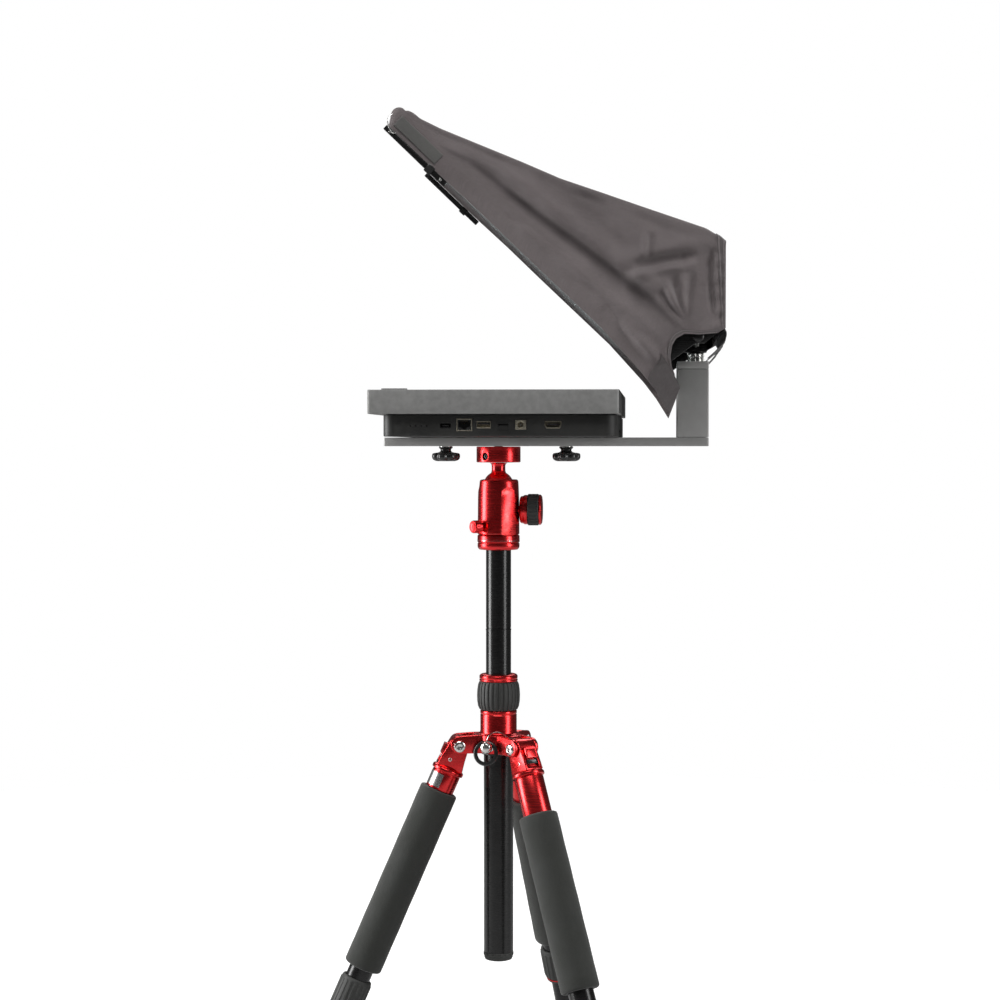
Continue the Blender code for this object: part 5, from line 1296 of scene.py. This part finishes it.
def make_arms():
    """Bent flat arms, the pivot rod with its end nuts, and the rod under the hood's front edge."""
    pivot = Vector((PIVOT.x - COLUMN.x, 0, PIVOT.z - BASE)) / MM
    across = Matrix.Translation(pivot * MM) @ Matrix.Rotation(math.pi / 2, 4, "X")
    reach = box_mm("pivot_rod")[1].y
    rod = turned("pivot_rod", [
        (2.9, -reach), (3.4, 0.6 - reach), (3.4, -22), (3.1, -21.8), (3.1, -20.6), (3.4, -20.4), (3.4, 20.4),
        (3.1, 20.6), (3.1, 21.8), (3.4, 22), (3.4, reach - 0.6), (2.9, reach)], sides=36)
    fitted(moved(rod, PLATE @ across), STEEL, "glass_hood", "pivot_rod")
    low, high = box_mm("arm_near")
    foot_low, foot_high = on_slope(9, 12.2), on_slope(35, 12.2)
    back = high.x - 0.1
    points = [foot_low, (pivot.x - 3, pivot.z - 6.4), (pivot.x + 6.4, pivot.z - 6.4), (back, pivot.z + 6.5)]
    points += [(back, pivot.z + 31.2), (back - 1.2, pivot.z + 32.4), (back - 11.7, pivot.z + 32.4)]
    points += [(back - 12.9, pivot.z + 31.2), (pivot.x + 6.5, pivot.z + 13), (pivot.x - 6.5, pivot.z + 6.5),
               foot_high]
    for label, sign in (("near", -1), ("far", 1)):
        low_y, high_y = sorted((sign * 179.1, sign * 182.9))
        arm = softened(outlined(f"arm_{label}", points, low_y, high_y), 0.5)
        drilled(arm, moved(turned("bore", [(3.7, -200), (3.7, 200)], 40), across))
        fitted(moved(arm, PLATE), BLACK, "glass_hood", f"arm_{label}")
        side = Matrix.Translation(Vector((0, sign * 183, 0)) * MM)
        nut = turned(f"rod_nut_{label}", [(3.2, 0.1), (5.6, 0.2), (5.6, 2.2), (4.4, 3.2), (1.6, 3.9)],
                     sides=36)
        turn = Matrix.Translation(pivot * MM) @ Matrix.Rotation(-sign * math.pi / 2, 4, "X")
        fitted(moved(softened(nut, 0.15), PLATE @ side @ turn), BLACK, "glass_hood")
        for number, (x, z) in enumerate(((back - 6.4, pivot.z + 27), (back - 6.4, pivot.z + 17),
                                         on_slope(19, 16))):
            screw = set_screw(f"arm_screw_{label}_{number}", 2.0, 0.8)
            face = Matrix.Translation(Vector((x, 0, z)) * MM) @ Matrix.Rotation(-sign * math.pi / 2, 4, "X")
            fitted(moved(screw, PLATE @ side @ face), STEEL, "glass_hood")
    low, high = box_mm("hood_rod")
    x, z = (low.x + high.x) / 2, (low.z + high.z) / 2
    reach = high.y
    bar = turned("hood_rod", [(4.6, -reach), (5.4, 0.9 - reach), (5.4, 14 - reach), (5.0, 14.4 - reach),
                              (5.0, reach - 14.4),
                              (5.4, reach - 14), (5.4, reach - 0.9), (4.6, reach)], sides=40)
    turn = Matrix.Translation(Vector((x, 0, z)) * MM) @ Matrix.Rotation(math.pi / 2, 4, "X")
    fitted(moved(bar, PLATE @ turn), BLACK, "glass_hood", "hood_rod")


def make_rear_panel():
    """Black rear panel with the lens opening and its raised rim."""
    low, high = inside(*box_mm("rear_panel"), 0.06)
    middle = (low[2] + high[2]) / 2
    panel = block("rear_panel", low, high)
    hole = outlined("lens_cut", round_corners((-64.5, middle - 29.5), (64.5, middle + 29.5), 6, 6), -20, 20)
    drilled(panel, moved(hole, Matrix.Translation((high[0] * MM, 0, 0))
                         @ Matrix.Rotation(math.pi / 2, 4, "Z")))
    fitted(moved(softened(panel, 0.4), PLATE), GLOSSY, "glass_hood", "rear_panel")
    rim = outlined("lens_rim", round_corners((-70, middle - 35), (70, middle + 35), 9, 6), -0.5, 1.1)
    inner = outlined("rim_cut", round_corners((-65, middle - 30), (65, middle + 30), 6.5, 6), -20, 20)
    rim = softened(drilled(rim, inner), 0.45)
    turn = Matrix.Translation((high[0] * MM, 0, 0)) @ Matrix.Rotation(math.pi / 2, 4,
                                                                      "Z") @ Matrix.Scale(-1, 4, (0, 1, 0))
    fitted(moved(rim, PLATE @ turn), RUBBER, "glass_hood")
    open_up(rim)
    bpy.ops.mesh.select_all(action="SELECT")
    bpy.ops.mesh.normals_make_consistent(inside=False)
    set_down()


make_glass()
make_clamp("near", 1)
make_clamp("far", -1)
make_arms()
make_rear_panel()


# ---------------------------------------------------------------- hood

HALF = (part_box("hood")[1].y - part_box("hood")[0].y) / 2 / MM
RIDGE = 5.0               # radius of the fold between roof and side
CLOTH_THICK = 1.1
PULL = 2.0                # how deep the folds are drawn
rod_low, rod_high = box_mm("hood_rod")
ROD = ((rod_low.x + rod_high.x) / 2, (rod_low.z + rod_high.z) / 2)

HOOD_REAR = box_mm("hood")[1].x
HEM_SET_IN = 0.4
FRONT_OUT = 3             # the front edge stands this far out of the slope line
WRAP = 8.4                # outer radius of the cloth round the top rod
FOOT = np.array(on_slope(0, 0))
TIP = FOOT + (15, -27.1)
REAR_TOP = np.array((HOOD_REAR - HEM_SET_IN, 203.4))
REAR_LOW = np.array((HOOD_REAR - HEM_SET_IN, 117.0))
GATHER = TIP + (17.4, 85.4)       # where the cloth is pinched over the arch
# (share of the run to the rear, rise above the straight line) of the roof's bends
ROOF_BENDS = ((0.009, -1.6), (0.02, 0), (0.035, -0.6), (0.055, -3.3), (0.12, -4.9), (0.37, -4.4), (0.49, -5),
              (0.62, -1.8), (0.94, 5.4), (0.983, 2.6))
# (up the slope, out of it) of the front edge's bends
FRONT_BENDS = ((300, FRONT_OUT), (245, 4.3), (190, 4.3), (80, 5.2), (51, 3.2), (20, 1.1), (-4, -2.6))
# (right, up) of the arch's bends from the tip
ARCH_BENDS = ((10, 26), (5.4, 38), (1.8, 47), (0.4, 58), (2, 68), (6, 74.6), (14.4, 79.4), (31, 78.6),
              (46.4, 80))

WRAPPED = arc(ROD, WRAP, 180, 66, 9)
WRAP_END = np.array(WRAPPED[-1])
ROOF_LINE = [on_slope(RUN, FRONT_OUT), *WRAPPED]
ROOF_LINE += [WRAP_END + share * (REAR_TOP - WRAP_END) + (0, rise) for share, rise in ROOF_BENDS] + [REAR_TOP]
FRONT_LINE = [on_slope(RUN, FRONT_OUT), *(on_slope(run, out) for run, out in FRONT_BENDS), TIP]
ARCH_LINE = [TIP, *(TIP + step for step in ARCH_BENDS), REAR_LOW]
REAR_LINE = [REAR_TOP, REAR_LOW]

FRONT_FALL = -43          # degrees below level that the front edge falls at
PULL_RISE = 143           # degrees at which the long pulls leave the gather
BEND_STEPS = 7


def fold(start, length, degrees, height, sharp, soft, bow=0):
    """A fold's height and its widths on either side, with its line bowed sideways as a half wave."""
    way = np.array((math.cos(math.radians(degrees)), math.sin(math.radians(degrees))))
    across = np.array((-way[1], way[0]))
    shares = np.linspace(0, 1, BEND_STEPS)
    line = [start + way * length * share + across * bow * math.sin(math.pi * share) for share in shares]
    return height, sharp, soft, line


def make_folds():
    """Every fold of one side, set out from the gather and the rear's low corner."""
    folds = []
    for shift, length, height, sharp, soft in ((0, 285, -3.2, 10, 6), (-14, 265, 2.6, 8, 9),
                                               (24, 240, 2.2, 14, 8)):
        side_step = shift * np.array((math.cos(math.radians(PULL_RISE + 90)),
                                      math.sin(math.radians(PULL_RISE + 90))))
        folds.append(fold(GATHER + side_step, length, PULL_RISE, height, sharp, soft))
    for count in range(6):
        height = (1.5 + 0.12 * count) * (1 if count % 2 else -1)
        folds.append(fold(GATHER, 58 - 2 * count, 84 + 10 * count, height, 5, 3.5, bow=2))
    for count in range(3):
        start = GATHER + (-70 + 3 * count, 45 + 10 * count)
        folds.append(fold(start, 84 - 3 * count, 12, (1.8, -3.0, 2.0)[count], 9, 5, bow=3))
    for count in range(2):
        start = REAR_LOW + (-12 - 20 * count, 94 + 10 * count)
        folds.append(fold(start, 155 - 45 * count, 161, (-2.6, 2.4)[count], 13, 8, bow=-4))
    for count in range(3):
        start = GATHER + (-90 + 20 * count, 22 - 14 * count)
        folds.append(fold(start, 82 - 22 * count, FRONT_FALL - 5, (-2.0, 2.4, 1.6)[count], 6, 8))
    for count in range(2):
        start = GATHER + (-194 + 28 * count, 98)
        folds.append(fold(start, 115 + 34 * count, FRONT_FALL + 2, (1.8, -1.6)[count], 7, 8))
    for count in range(2):
        folds.append(fold(GATHER + (-3, -5), 34, 242 - 12 * count, (-1.8, 2.0)[count], 5, 6, bow=-3))
        folds.append(fold(REAR_LOW + (-11 + 5 * count, 10), 72, 91, (-2.2, 1.6)[count], 3.5, 3.5, bow=2))
        folds.append(fold(GATHER + (-45 + 6 * count, 67), 30, 84, (1.0, -1.1)[count], 3, 3.5))
        folds.append(fold(GATHER + (-266 + 10 * count, 207 - 18 * count), 118, -25, (-1.3, 1.2)[count], 6, 5))
        folds.append(fold(GATHER + (-186 + 7 * count, 126), 26, -50, (-1.3, 1.2)[count], 5, 4))
    return folds


FOLDS = make_folds()


def path(points):
    """A polyline as a function of the share of its length."""
    points = np.array(points, float)
    steps = np.hypot(*np.diff(points, axis=0).T)
    at = np.concatenate([[0], np.cumsum(steps)]) / steps.sum()
    return lambda share: np.stack([np.interp(share, at, points[:, 0]), np.interp(share, at, points[:, 1])],
                                  axis=-1)


ROOF_PATH, FRONT_PATH, ARCH_PATH, REAR_PATH = map(path, (ROOF_LINE, FRONT_LINE, ARCH_LINE, REAR_LINE))


def side_points(u, v):
    """The flat side between its four edges: u runs back from the front edge, v down from the roof line."""
    u_, v_ = u[:, None], v[:, None]
    corners = [np.array(point) for point in (ROOF_LINE[0], ROOF_LINE[-1], ARCH_LINE[0], ARCH_LINE[-1])]
    ruled = (1 - v_) * ROOF_PATH(u) + v_ * ARCH_PATH(u) + (1 - u_) * FRONT_PATH(v) + u_ * REAR_PATH(v)
    blend = ((1 - u_) * (1 - v_) * corners[0] + u_ * (1 - v_) * corners[1]
             + (1 - u_) * v_ * corners[2] + u_ * v_ * corners[3])
    return ruled - blend


def smooth(value, low, high):
    share = np.clip((value - low) / (high - low), 0, 1)
    return share * share * (3 - 2 * share)


def nearest(points, line):
    """For each point: the distance to the line, its side and the share of the line's length."""
    line = np.array(line, float)
    steps = np.hypot(*np.diff(line, axis=0).T)
    starts = np.concatenate([[0], np.cumsum(steps)])
    best = np.full(len(points), 1e9)
    side = np.zeros(len(points))
    share = np.zeros(len(points))
    for i, step in enumerate(steps):
        way = (line[i + 1] - line[i]) / step
        off = points - line[i]
        run = np.clip(off @ way, 0, step)
        gap = np.hypot(*(off - run[:, None] * way).T)
        cross = way[0] * off[:, 1] - way[1] * off[:, 0]
        closer = gap < best
        best = np.where(closer, gap, best)
        side = np.where(closer, np.sign(cross), side)
        share = np.where(closer, (starts[i] + run) / starts[-1], share)
    return best, side, share


def slack(points, side):
    """How far the cloth stands out from its flat side, in millimetres."""
    if side > 0:
        turn = math.radians(4)
        middle = np.array([120.0, 180.0])
        turned_points = points - middle
        cos, sin = math.cos(turn), math.sin(turn)
        points = middle + np.stack([cos * turned_points[:, 0] - sin * turned_points[:, 1],
                                    sin * turned_points[:, 0] + cos * turned_points[:, 1]], axis=-1) + (3.5,
                                                                                                        -4.0)
    height = np.zeros(len(points))
    for rise, left, right, line in FOLDS:
        gap, hand, share = nearest(points, line)
        width = np.where(hand > 0, left, right)
        ends = np.clip(np.sin(np.pi * np.clip(share, 0.02, 0.98)) * 1.6, 0, 1)
        height += PULL * rise * ends * np.exp(-(gap / width) ** 2)
    x, z = points.T
    for count, (reach, turn, rise) in enumerate(((76, 0.6, 0.9), (53, 2.2, 0.6), (37, 1.2, 0.38),
                                                 (23, 2.7, 0.2),
                                                 (15, 0.9, 0.11), (11, 1.9, 0.07))):
        run = (x * math.cos(turn) + z * math.sin(turn)) / reach * math.tau
        across = (z * math.cos(turn) - x * math.sin(turn)) / reach * math.tau
        height += rise * np.sin(run + 1.3 * np.sin(across * 0.31 + count) + 2.1 * count)
    return height


def stand_out(place, hand, past):
    """The slack, pinned at the ridge, along the clamped front edge and at the rear panel."""
    height = np.where(hand < 0, slack(place, -1), slack(place, 1))
    front_gap = nearest(place, FRONT_LINE)[0]
    rear_gap = HOOD_REAR - place[:, 0]
    outwards = np.maximum(height, 0) * smooth(front_gap, 1, 20) * smooth(rear_gap, -2, 12)
    inwards = np.minimum(height, 0) * smooth(front_gap, 16, 40) * smooth(rear_gap, 2, 10)
    pinned = smooth(-past, RIDGE, RIDGE + 16) * (1 - 0.6 * smooth(-place[:, 1], -60, -30))
    puckers = 0.9 * np.exp(-((rear_gap - 6) / 6) ** 2) * np.sin(place[:, 1] / 2.6) * smooth(rear_gap, 1, 5)
    return (outwards + inwards + puckers) * pinned


def hood_points(u, w, lift=0.0):
    """The hood's outer face: w is 0 to 1 up the near side, to 2 across the roof, to 3 down the far side."""
    on_side = (w <= 1) | (w >= 2)
    v = np.where(w <= 1, 1 - w, np.where(w >= 2, w - 2, 0))
    hand = np.where(w < 1.5, -1.0, 1.0)
    top, flat = ROOF_PATH(u), side_points(u, v)
    reach = np.hypot(*(top - ARCH_PATH(u)).T)
    past = np.where(on_side, -v * reach, (0.5 - np.abs(w - 1.5)) * 2 * HALF)
    turn = np.clip((past + RIDGE) / (2 * RIDGE), 0, 1) * np.pi / 2
    drawn_in = np.where(past > RIDGE, past, RIDGE - RIDGE * np.cos(turn))
    down = side_points(u, np.full_like(u, 0.04)) - top
    down /= np.hypot(*down.T)[:, None]
    drop = RIDGE - RIDGE * np.sin(turn)
    place = np.where((past < -RIDGE)[:, None], flat, top + down * drop[:, None])
    out = stand_out(place, hand, past)
    y = hand * (HALF - 0.4 - drawn_in + out + lift * np.where(on_side, 1, 0))
    across = 1 - (y / HALF) ** 2
    along = np.sin(np.pi * np.clip((u - 0.08) / 0.92, 0, 1))
    sag = np.where(on_side, 0, 1) * across * along * 6.5
    ripple = np.where(on_side, 0, 1) * across * along * (
        1.1 * np.sin(y / 21 + 5 * u) * np.sin(9 * u + y / 60) + 0.7 * np.sin(31 * u + 1.4 * np.sin(y / 34)))
    z = place[:, 1] - sag + ripple + lift * np.where(on_side, 0, 1)
    return np.stack([place[:, 0], y, z], axis=-1)


def cloth_grid(name, us, ws, lift=0.0):
    """A grid laid on the hood's surface over the given runs of u and w, with its UV in metres."""
    set_down()
    bpy.ops.mesh.primitive_grid_add(x_subdivisions=len(us) - 1, y_subdivisions=len(ws) - 1, size=1)
    obj = new_piece(name)
    flat = np.array([vertex.co for vertex in obj.data.vertices])
    column = np.rint((flat[:, 0] + 0.5) * (len(us) - 1)).astype(int)
    row = np.rint((flat[:, 1] + 0.5) * (len(ws) - 1)).astype(int)
    places = hood_points(np.array(us)[column], np.array(ws)[row], lift)
    obj.data.vertices.foreach_set("co", (places * MM).ravel())
    obj.data.update()
    run = np.array(us)[column] * 0.41
    across = np.array(ws)[row] * 0.37
    layer = obj.data.uv_layers.active or obj.data.uv_layers.new(name="flat")
    corners = np.array([loop.vertex_index for loop in obj.data.loops])
    layer.data.foreach_set("uv", np.stack([run[corners], across[corners]], axis=-1).ravel())
    return obj, column, row


def thickened(obj, thick, outwards_y):
    """Turns the sheet's faces outwards and gives it its thickness inwards."""
    take(obj)
    facing = sum(face.normal.y * outwards_y * face.area for face in obj.data.polygons
                 if face.center.y * outwards_y > 0)
    if facing < 0:
        open_up(obj)
        bpy.ops.mesh.select_all(action="SELECT")
        bpy.ops.mesh.flip_normals()
        take(obj)
    solid = obj.modifiers.new("thickness", "SOLIDIFY")
    solid.thickness = abs(thick) * MM
    solid.offset = -1 if thick > 0 else 1
    bpy.ops.object.modifier_apply(modifier=solid.name)
    return obj


def make_hood():
    """One continuous sheet: near side, roof and far side, with its pulls and folds."""
    us = list(np.linspace(0, 0.09, 22)) + list(np.linspace(0.09, 1, 125))[1:]
    fall = np.linspace(0, 1, 108)[1:] ** 0.94
    ws = sorted([*fall, *np.linspace(1, 2, 50), *(2 + fall)])
    hood = cloth_grid("hood", us, ws)[0]
    thickened(hood, CLOTH_THICK, -1)
    fitted(moved(hood, PLATE), CLOTH, "glass_hood", "hood", angle=75)
    return hood


def stitched_strip(name, finish, us, ws, runs_down, lift=0.25, thick=0.55):
    """A hem laid on the hood, its UV running along it in metres and across it from 0 to 1."""
    strip, column, row = cloth_grid(name, us, ws, lift)
    share_u = (np.array(us)[column] - us[0]) / (us[-1] - us[0])
    share_w = (np.array(ws)[row] - ws[0]) / (ws[-1] - ws[0])
    along, across = (share_w, share_u) if runs_down else (share_u, share_w)
    length = 0.37 * (ws[-1] - ws[0]) if runs_down else 0.16
    corners = np.array([loop.vertex_index for loop in strip.data.loops])
    uv = np.stack([length * along[corners], across[corners]], axis=-1)
    strip.data.uv_layers.active.data.foreach_set("uv", uv.ravel())
    thickened(strip, -thick, -1 if ws[0] < 1.5 else 1)
    return fitted(moved(strip, PLATE), finish, "glass_hood", angle=70)


def make_trims():
    """Hems at the rear edge and the arch, and the lower front corners laid over in a darker copy of the hood
    cloth as painted shade.
    """
    trims = []
    down = list(np.linspace(0.002, 1, 90)) + list(np.linspace(1, 2, 60))[1:] + list(np.linspace(2, 2.998,
                                                                                                90))[1:]
    trims.append(stitched_strip("hem_rear", HEM, list(np.linspace(0.968, 1.0, 6)), down, True))
    for label, ws in (("near", np.linspace(0.0, 0.03, 4)), ("far", np.linspace(2.97, 3.0, 4))):
        trims.append(stitched_strip(f"hem_arch_{label}", HEM, list(np.linspace(0.3, 0.97, 90)), list(ws),
                                    False))
    # Darker cloth laid over each lower front corner: painted shade.
    for label, ws in (("near", np.linspace(0, 0.1, 20)), ("far", np.linspace(2.9, 3, 20))):
        corner = cloth_grid(f"corner_{label}", list(np.linspace(0, 0.27, 24)), list(ws), 0.3)[0]
        thickened(corner, -0.7, -1 if label == "near" else 1)
        trims.append(fitted(moved(corner, PLATE), CORNER_SHADE_CLOTH, "glass_hood", angle=70))
    return trims


def make_label_patch():
    """Blank label sewn beside the near clamp."""
    set_down()
    bpy.ops.mesh.primitive_grid_add(x_subdivisions=44, y_subdivisions=12, size=1)
    patch = new_piece("hood_label")
    flat = np.array([vertex.co for vertex in patch.data.vertices])
    runs, outs = 341 + 57 * flat[:, 0], 13.4 + 12.5 * flat[:, 1]
    place = np.array([on_slope(run, out) for run, out in zip(runs, outs)])
    hand, past = np.full(len(place), -1.0), np.full(len(place), -50.0)
    y = -(HALF - 0.1 + stand_out(place, hand, past))
    patch.data.vertices.foreach_set("co", (np.stack([place[:, 0], y, place[:, 1]], axis=-1) * MM).ravel())
    layer = patch.data.uv_layers.active or patch.data.uv_layers.new(name="flat")
    corners = np.array([loop.vertex_index for loop in patch.data.loops])
    layer.data.foreach_set("uv", (np.stack([runs[corners], outs[corners]], axis=-1) * MM).ravel())
    thickened(patch, -0.5, -1)
    return fitted(moved(softened(patch, 0.12, 1, 60), PLATE), LABEL, "glass_hood", angle=60)


def make_flap():
    """Flap that hangs from the rear panel's lower edge, shorter over the upright; its near-black cloth is
    painted shade of the hood's shaded inside.
    """
    set_down()
    bpy.ops.mesh.primitive_grid_add(x_subdivisions=90, y_subdivisions=14, size=1)
    flap = new_piece("rear_shade_flap")
    flat = np.array([vertex.co for vertex in flap.data.vertices])
    y = flat[:, 0] * 366
    drop = 0.5 - flat[:, 1]
    clear = smooth(np.abs(y), 66, 92)
    fall = path([(238.6, 118.4), (241.6, 112.5), (239.4, 104), (231.5, 95.4), (223.6, 88.0)])
    place = fall(drop * (0.52 + 0.48 * clear))
    wave = 1.6 * drop * np.sin(y / 13 + 0.8 * np.sin(y / 31))
    co = np.stack([place[:, 0] + wave, y, place[:, 1] + 0.4 * wave], axis=-1)
    flap.data.vertices.foreach_set("co", (co * MM).ravel())
    layer = flap.data.uv_layers.active or flap.data.uv_layers.new(name="flat")
    corners = np.array([loop.vertex_index for loop in flap.data.loops])
    layer.data.foreach_set("uv", np.stack([y[corners] * MM, 0.037 * drop[corners]], axis=-1).ravel())
    take(flap)
    solid = flap.modifiers.new("thickness", "SOLIDIFY")
    solid.thickness = 0.6 * MM
    bpy.ops.object.modifier_apply(modifier=solid.name)
    return fitted(moved(flap, PLATE), REAR_SHADE_CLOTH, "glass_hood", angle=70)


def make_front_hook():
    """Bent wire hook that holds each front corner of the cloth to its clamp."""
    for label, sign in (("near", -1), ("far", 1)):
        steps = [(-92.4, 190.9, 331.6), (-96.6, 192.2, 329.4), (-97.2, 193.4, 323.0), (-95.2, 194.9, 315.6),
                 (-91.6, 195.2, 311.6), (-88.6, 194.9, 312.4)]
        points = [Vector((x, sign * y, z)) * MM for x, y, z in steps]
        fitted(moved(wire(f"front_hook_{label}", points, 0.65), PLATE), STEEL, "glass_hood")


hood = make_hood()
trims = make_trims() + [make_label_patch()]
flap = make_flap()
make_front_hook()


# ---------------------------------------------------------------- studio

def make_floor():
    """Pale floor with a little unevenness."""
    set_down()
    bpy.ops.mesh.primitive_circle_add(vertices=96, radius=2.4, fill_type="NGON", location=(0, 0, -0.0005))
    floor = new_piece("floor")
    bpy.ops.object.transform_apply(location=True, rotation=False, scale=False)
    finish, tree, shader = new_finish("pale floor", "floor", Emission_Strength=1.1)
    surface = use(tree, GRAIN, Grain_Size=3.0, Cloud_Size=400.0)
    base = tint(tree, surface.outputs["Clouds"], (0.6, 0.6, 0.6), (0.63, 0.63, 0.63))
    seen = node(tree, "LightPath").outputs["Is Camera Ray"]
    feed(tree, shader, Base_Color=base, Emission_Color=tint(tree, seen, (0, 0, 0), base),
         Roughness=spread(tree, surface.outputs["Clouds"], 0, 1, 0.8, 0.9))
    floor.data.materials.append(finish)


def soft_light(name, azimuth, height, distance, size, power, aim=(0, 0, 0.6)):
    """A square soft light at an azimuth and height in degrees, turned to the middle of the object."""
    a, h = math.radians(azimuth), math.radians(height)
    way = Vector((math.cos(a) * math.cos(h), math.sin(a) * math.cos(h), math.sin(h)))
    light = bpy.data.lights.new(name, "AREA")
    light.shape = "RECTANGLE"
    light.size, light.size_y = size
    light.energy = power
    lamp = bpy.data.objects.new(name, light)
    lamp.location = Vector(aim) + way * distance
    lamp.rotation_euler = way.to_track_quat("Z", "Y").to_euler()
    bpy.context.scene.collection.objects.link(lamp)
    return lamp


def make_world():
    """White to the camera, dim to everything else."""
    world = bpy.data.worlds.new("studio")
    world.use_nodes = True
    bpy.context.scene.world = world
    tree = world.node_tree
    tree.nodes.clear()
    seen = tree.nodes.new("ShaderNodeLightPath")
    plain = tree.nodes.new("ShaderNodeBackground")
    plain.inputs["Strength"].default_value = 0.08
    white = tree.nodes.new("ShaderNodeBackground")
    white.inputs["Color"].default_value = (1, 1, 1, 1)
    white.inputs["Strength"].default_value = 1.0
    mix = tree.nodes.new("ShaderNodeMixShader")
    out = tree.nodes.new("ShaderNodeOutputWorld")
    tree.links.new(seen.outputs["Is Camera Ray"], mix.inputs[0])
    tree.links.new(plain.outputs[0], mix.inputs[1])
    tree.links.new(white.outputs[0], mix.inputs[2])
    tree.links.new(mix.outputs[0], out.inputs[0])
    plain.inputs["Color"].default_value = (1, 1, 1, 1)


def make_camera():
    camera = bpy.data.cameras.new("camera")
    camera.lens = 79.2
    camera.sensor_width = 36
    camera.clip_end = 60
    eye = bpy.data.objects.new("camera", camera)
    eye.location = (0.1692, -2.3951, 0.7196)
    eye.rotation_euler = (math.radians(90 - 1.42), 0, math.radians(4.16))
    bpy.context.scene.collection.objects.link(eye)
    bpy.context.scene.camera = eye


make_floor()
make_world()
soft_light("left softbox", 186, 8, 2.4, (0.9, 1.9), 80)
soft_light("right softbox", -23, 10, 2.5, (0.75, 1.8), 32)
soft_light("top front softbox", -95, 56, 2.8, (2.0, 1.4), 56)
soft_light("back light", 95, 42, 2.8, (2.0, 1.2), 28)
make_camera()
bpy.context.scene.view_settings.view_transform = "Standard"
bpy.context.scene.view_settings.look = "None"
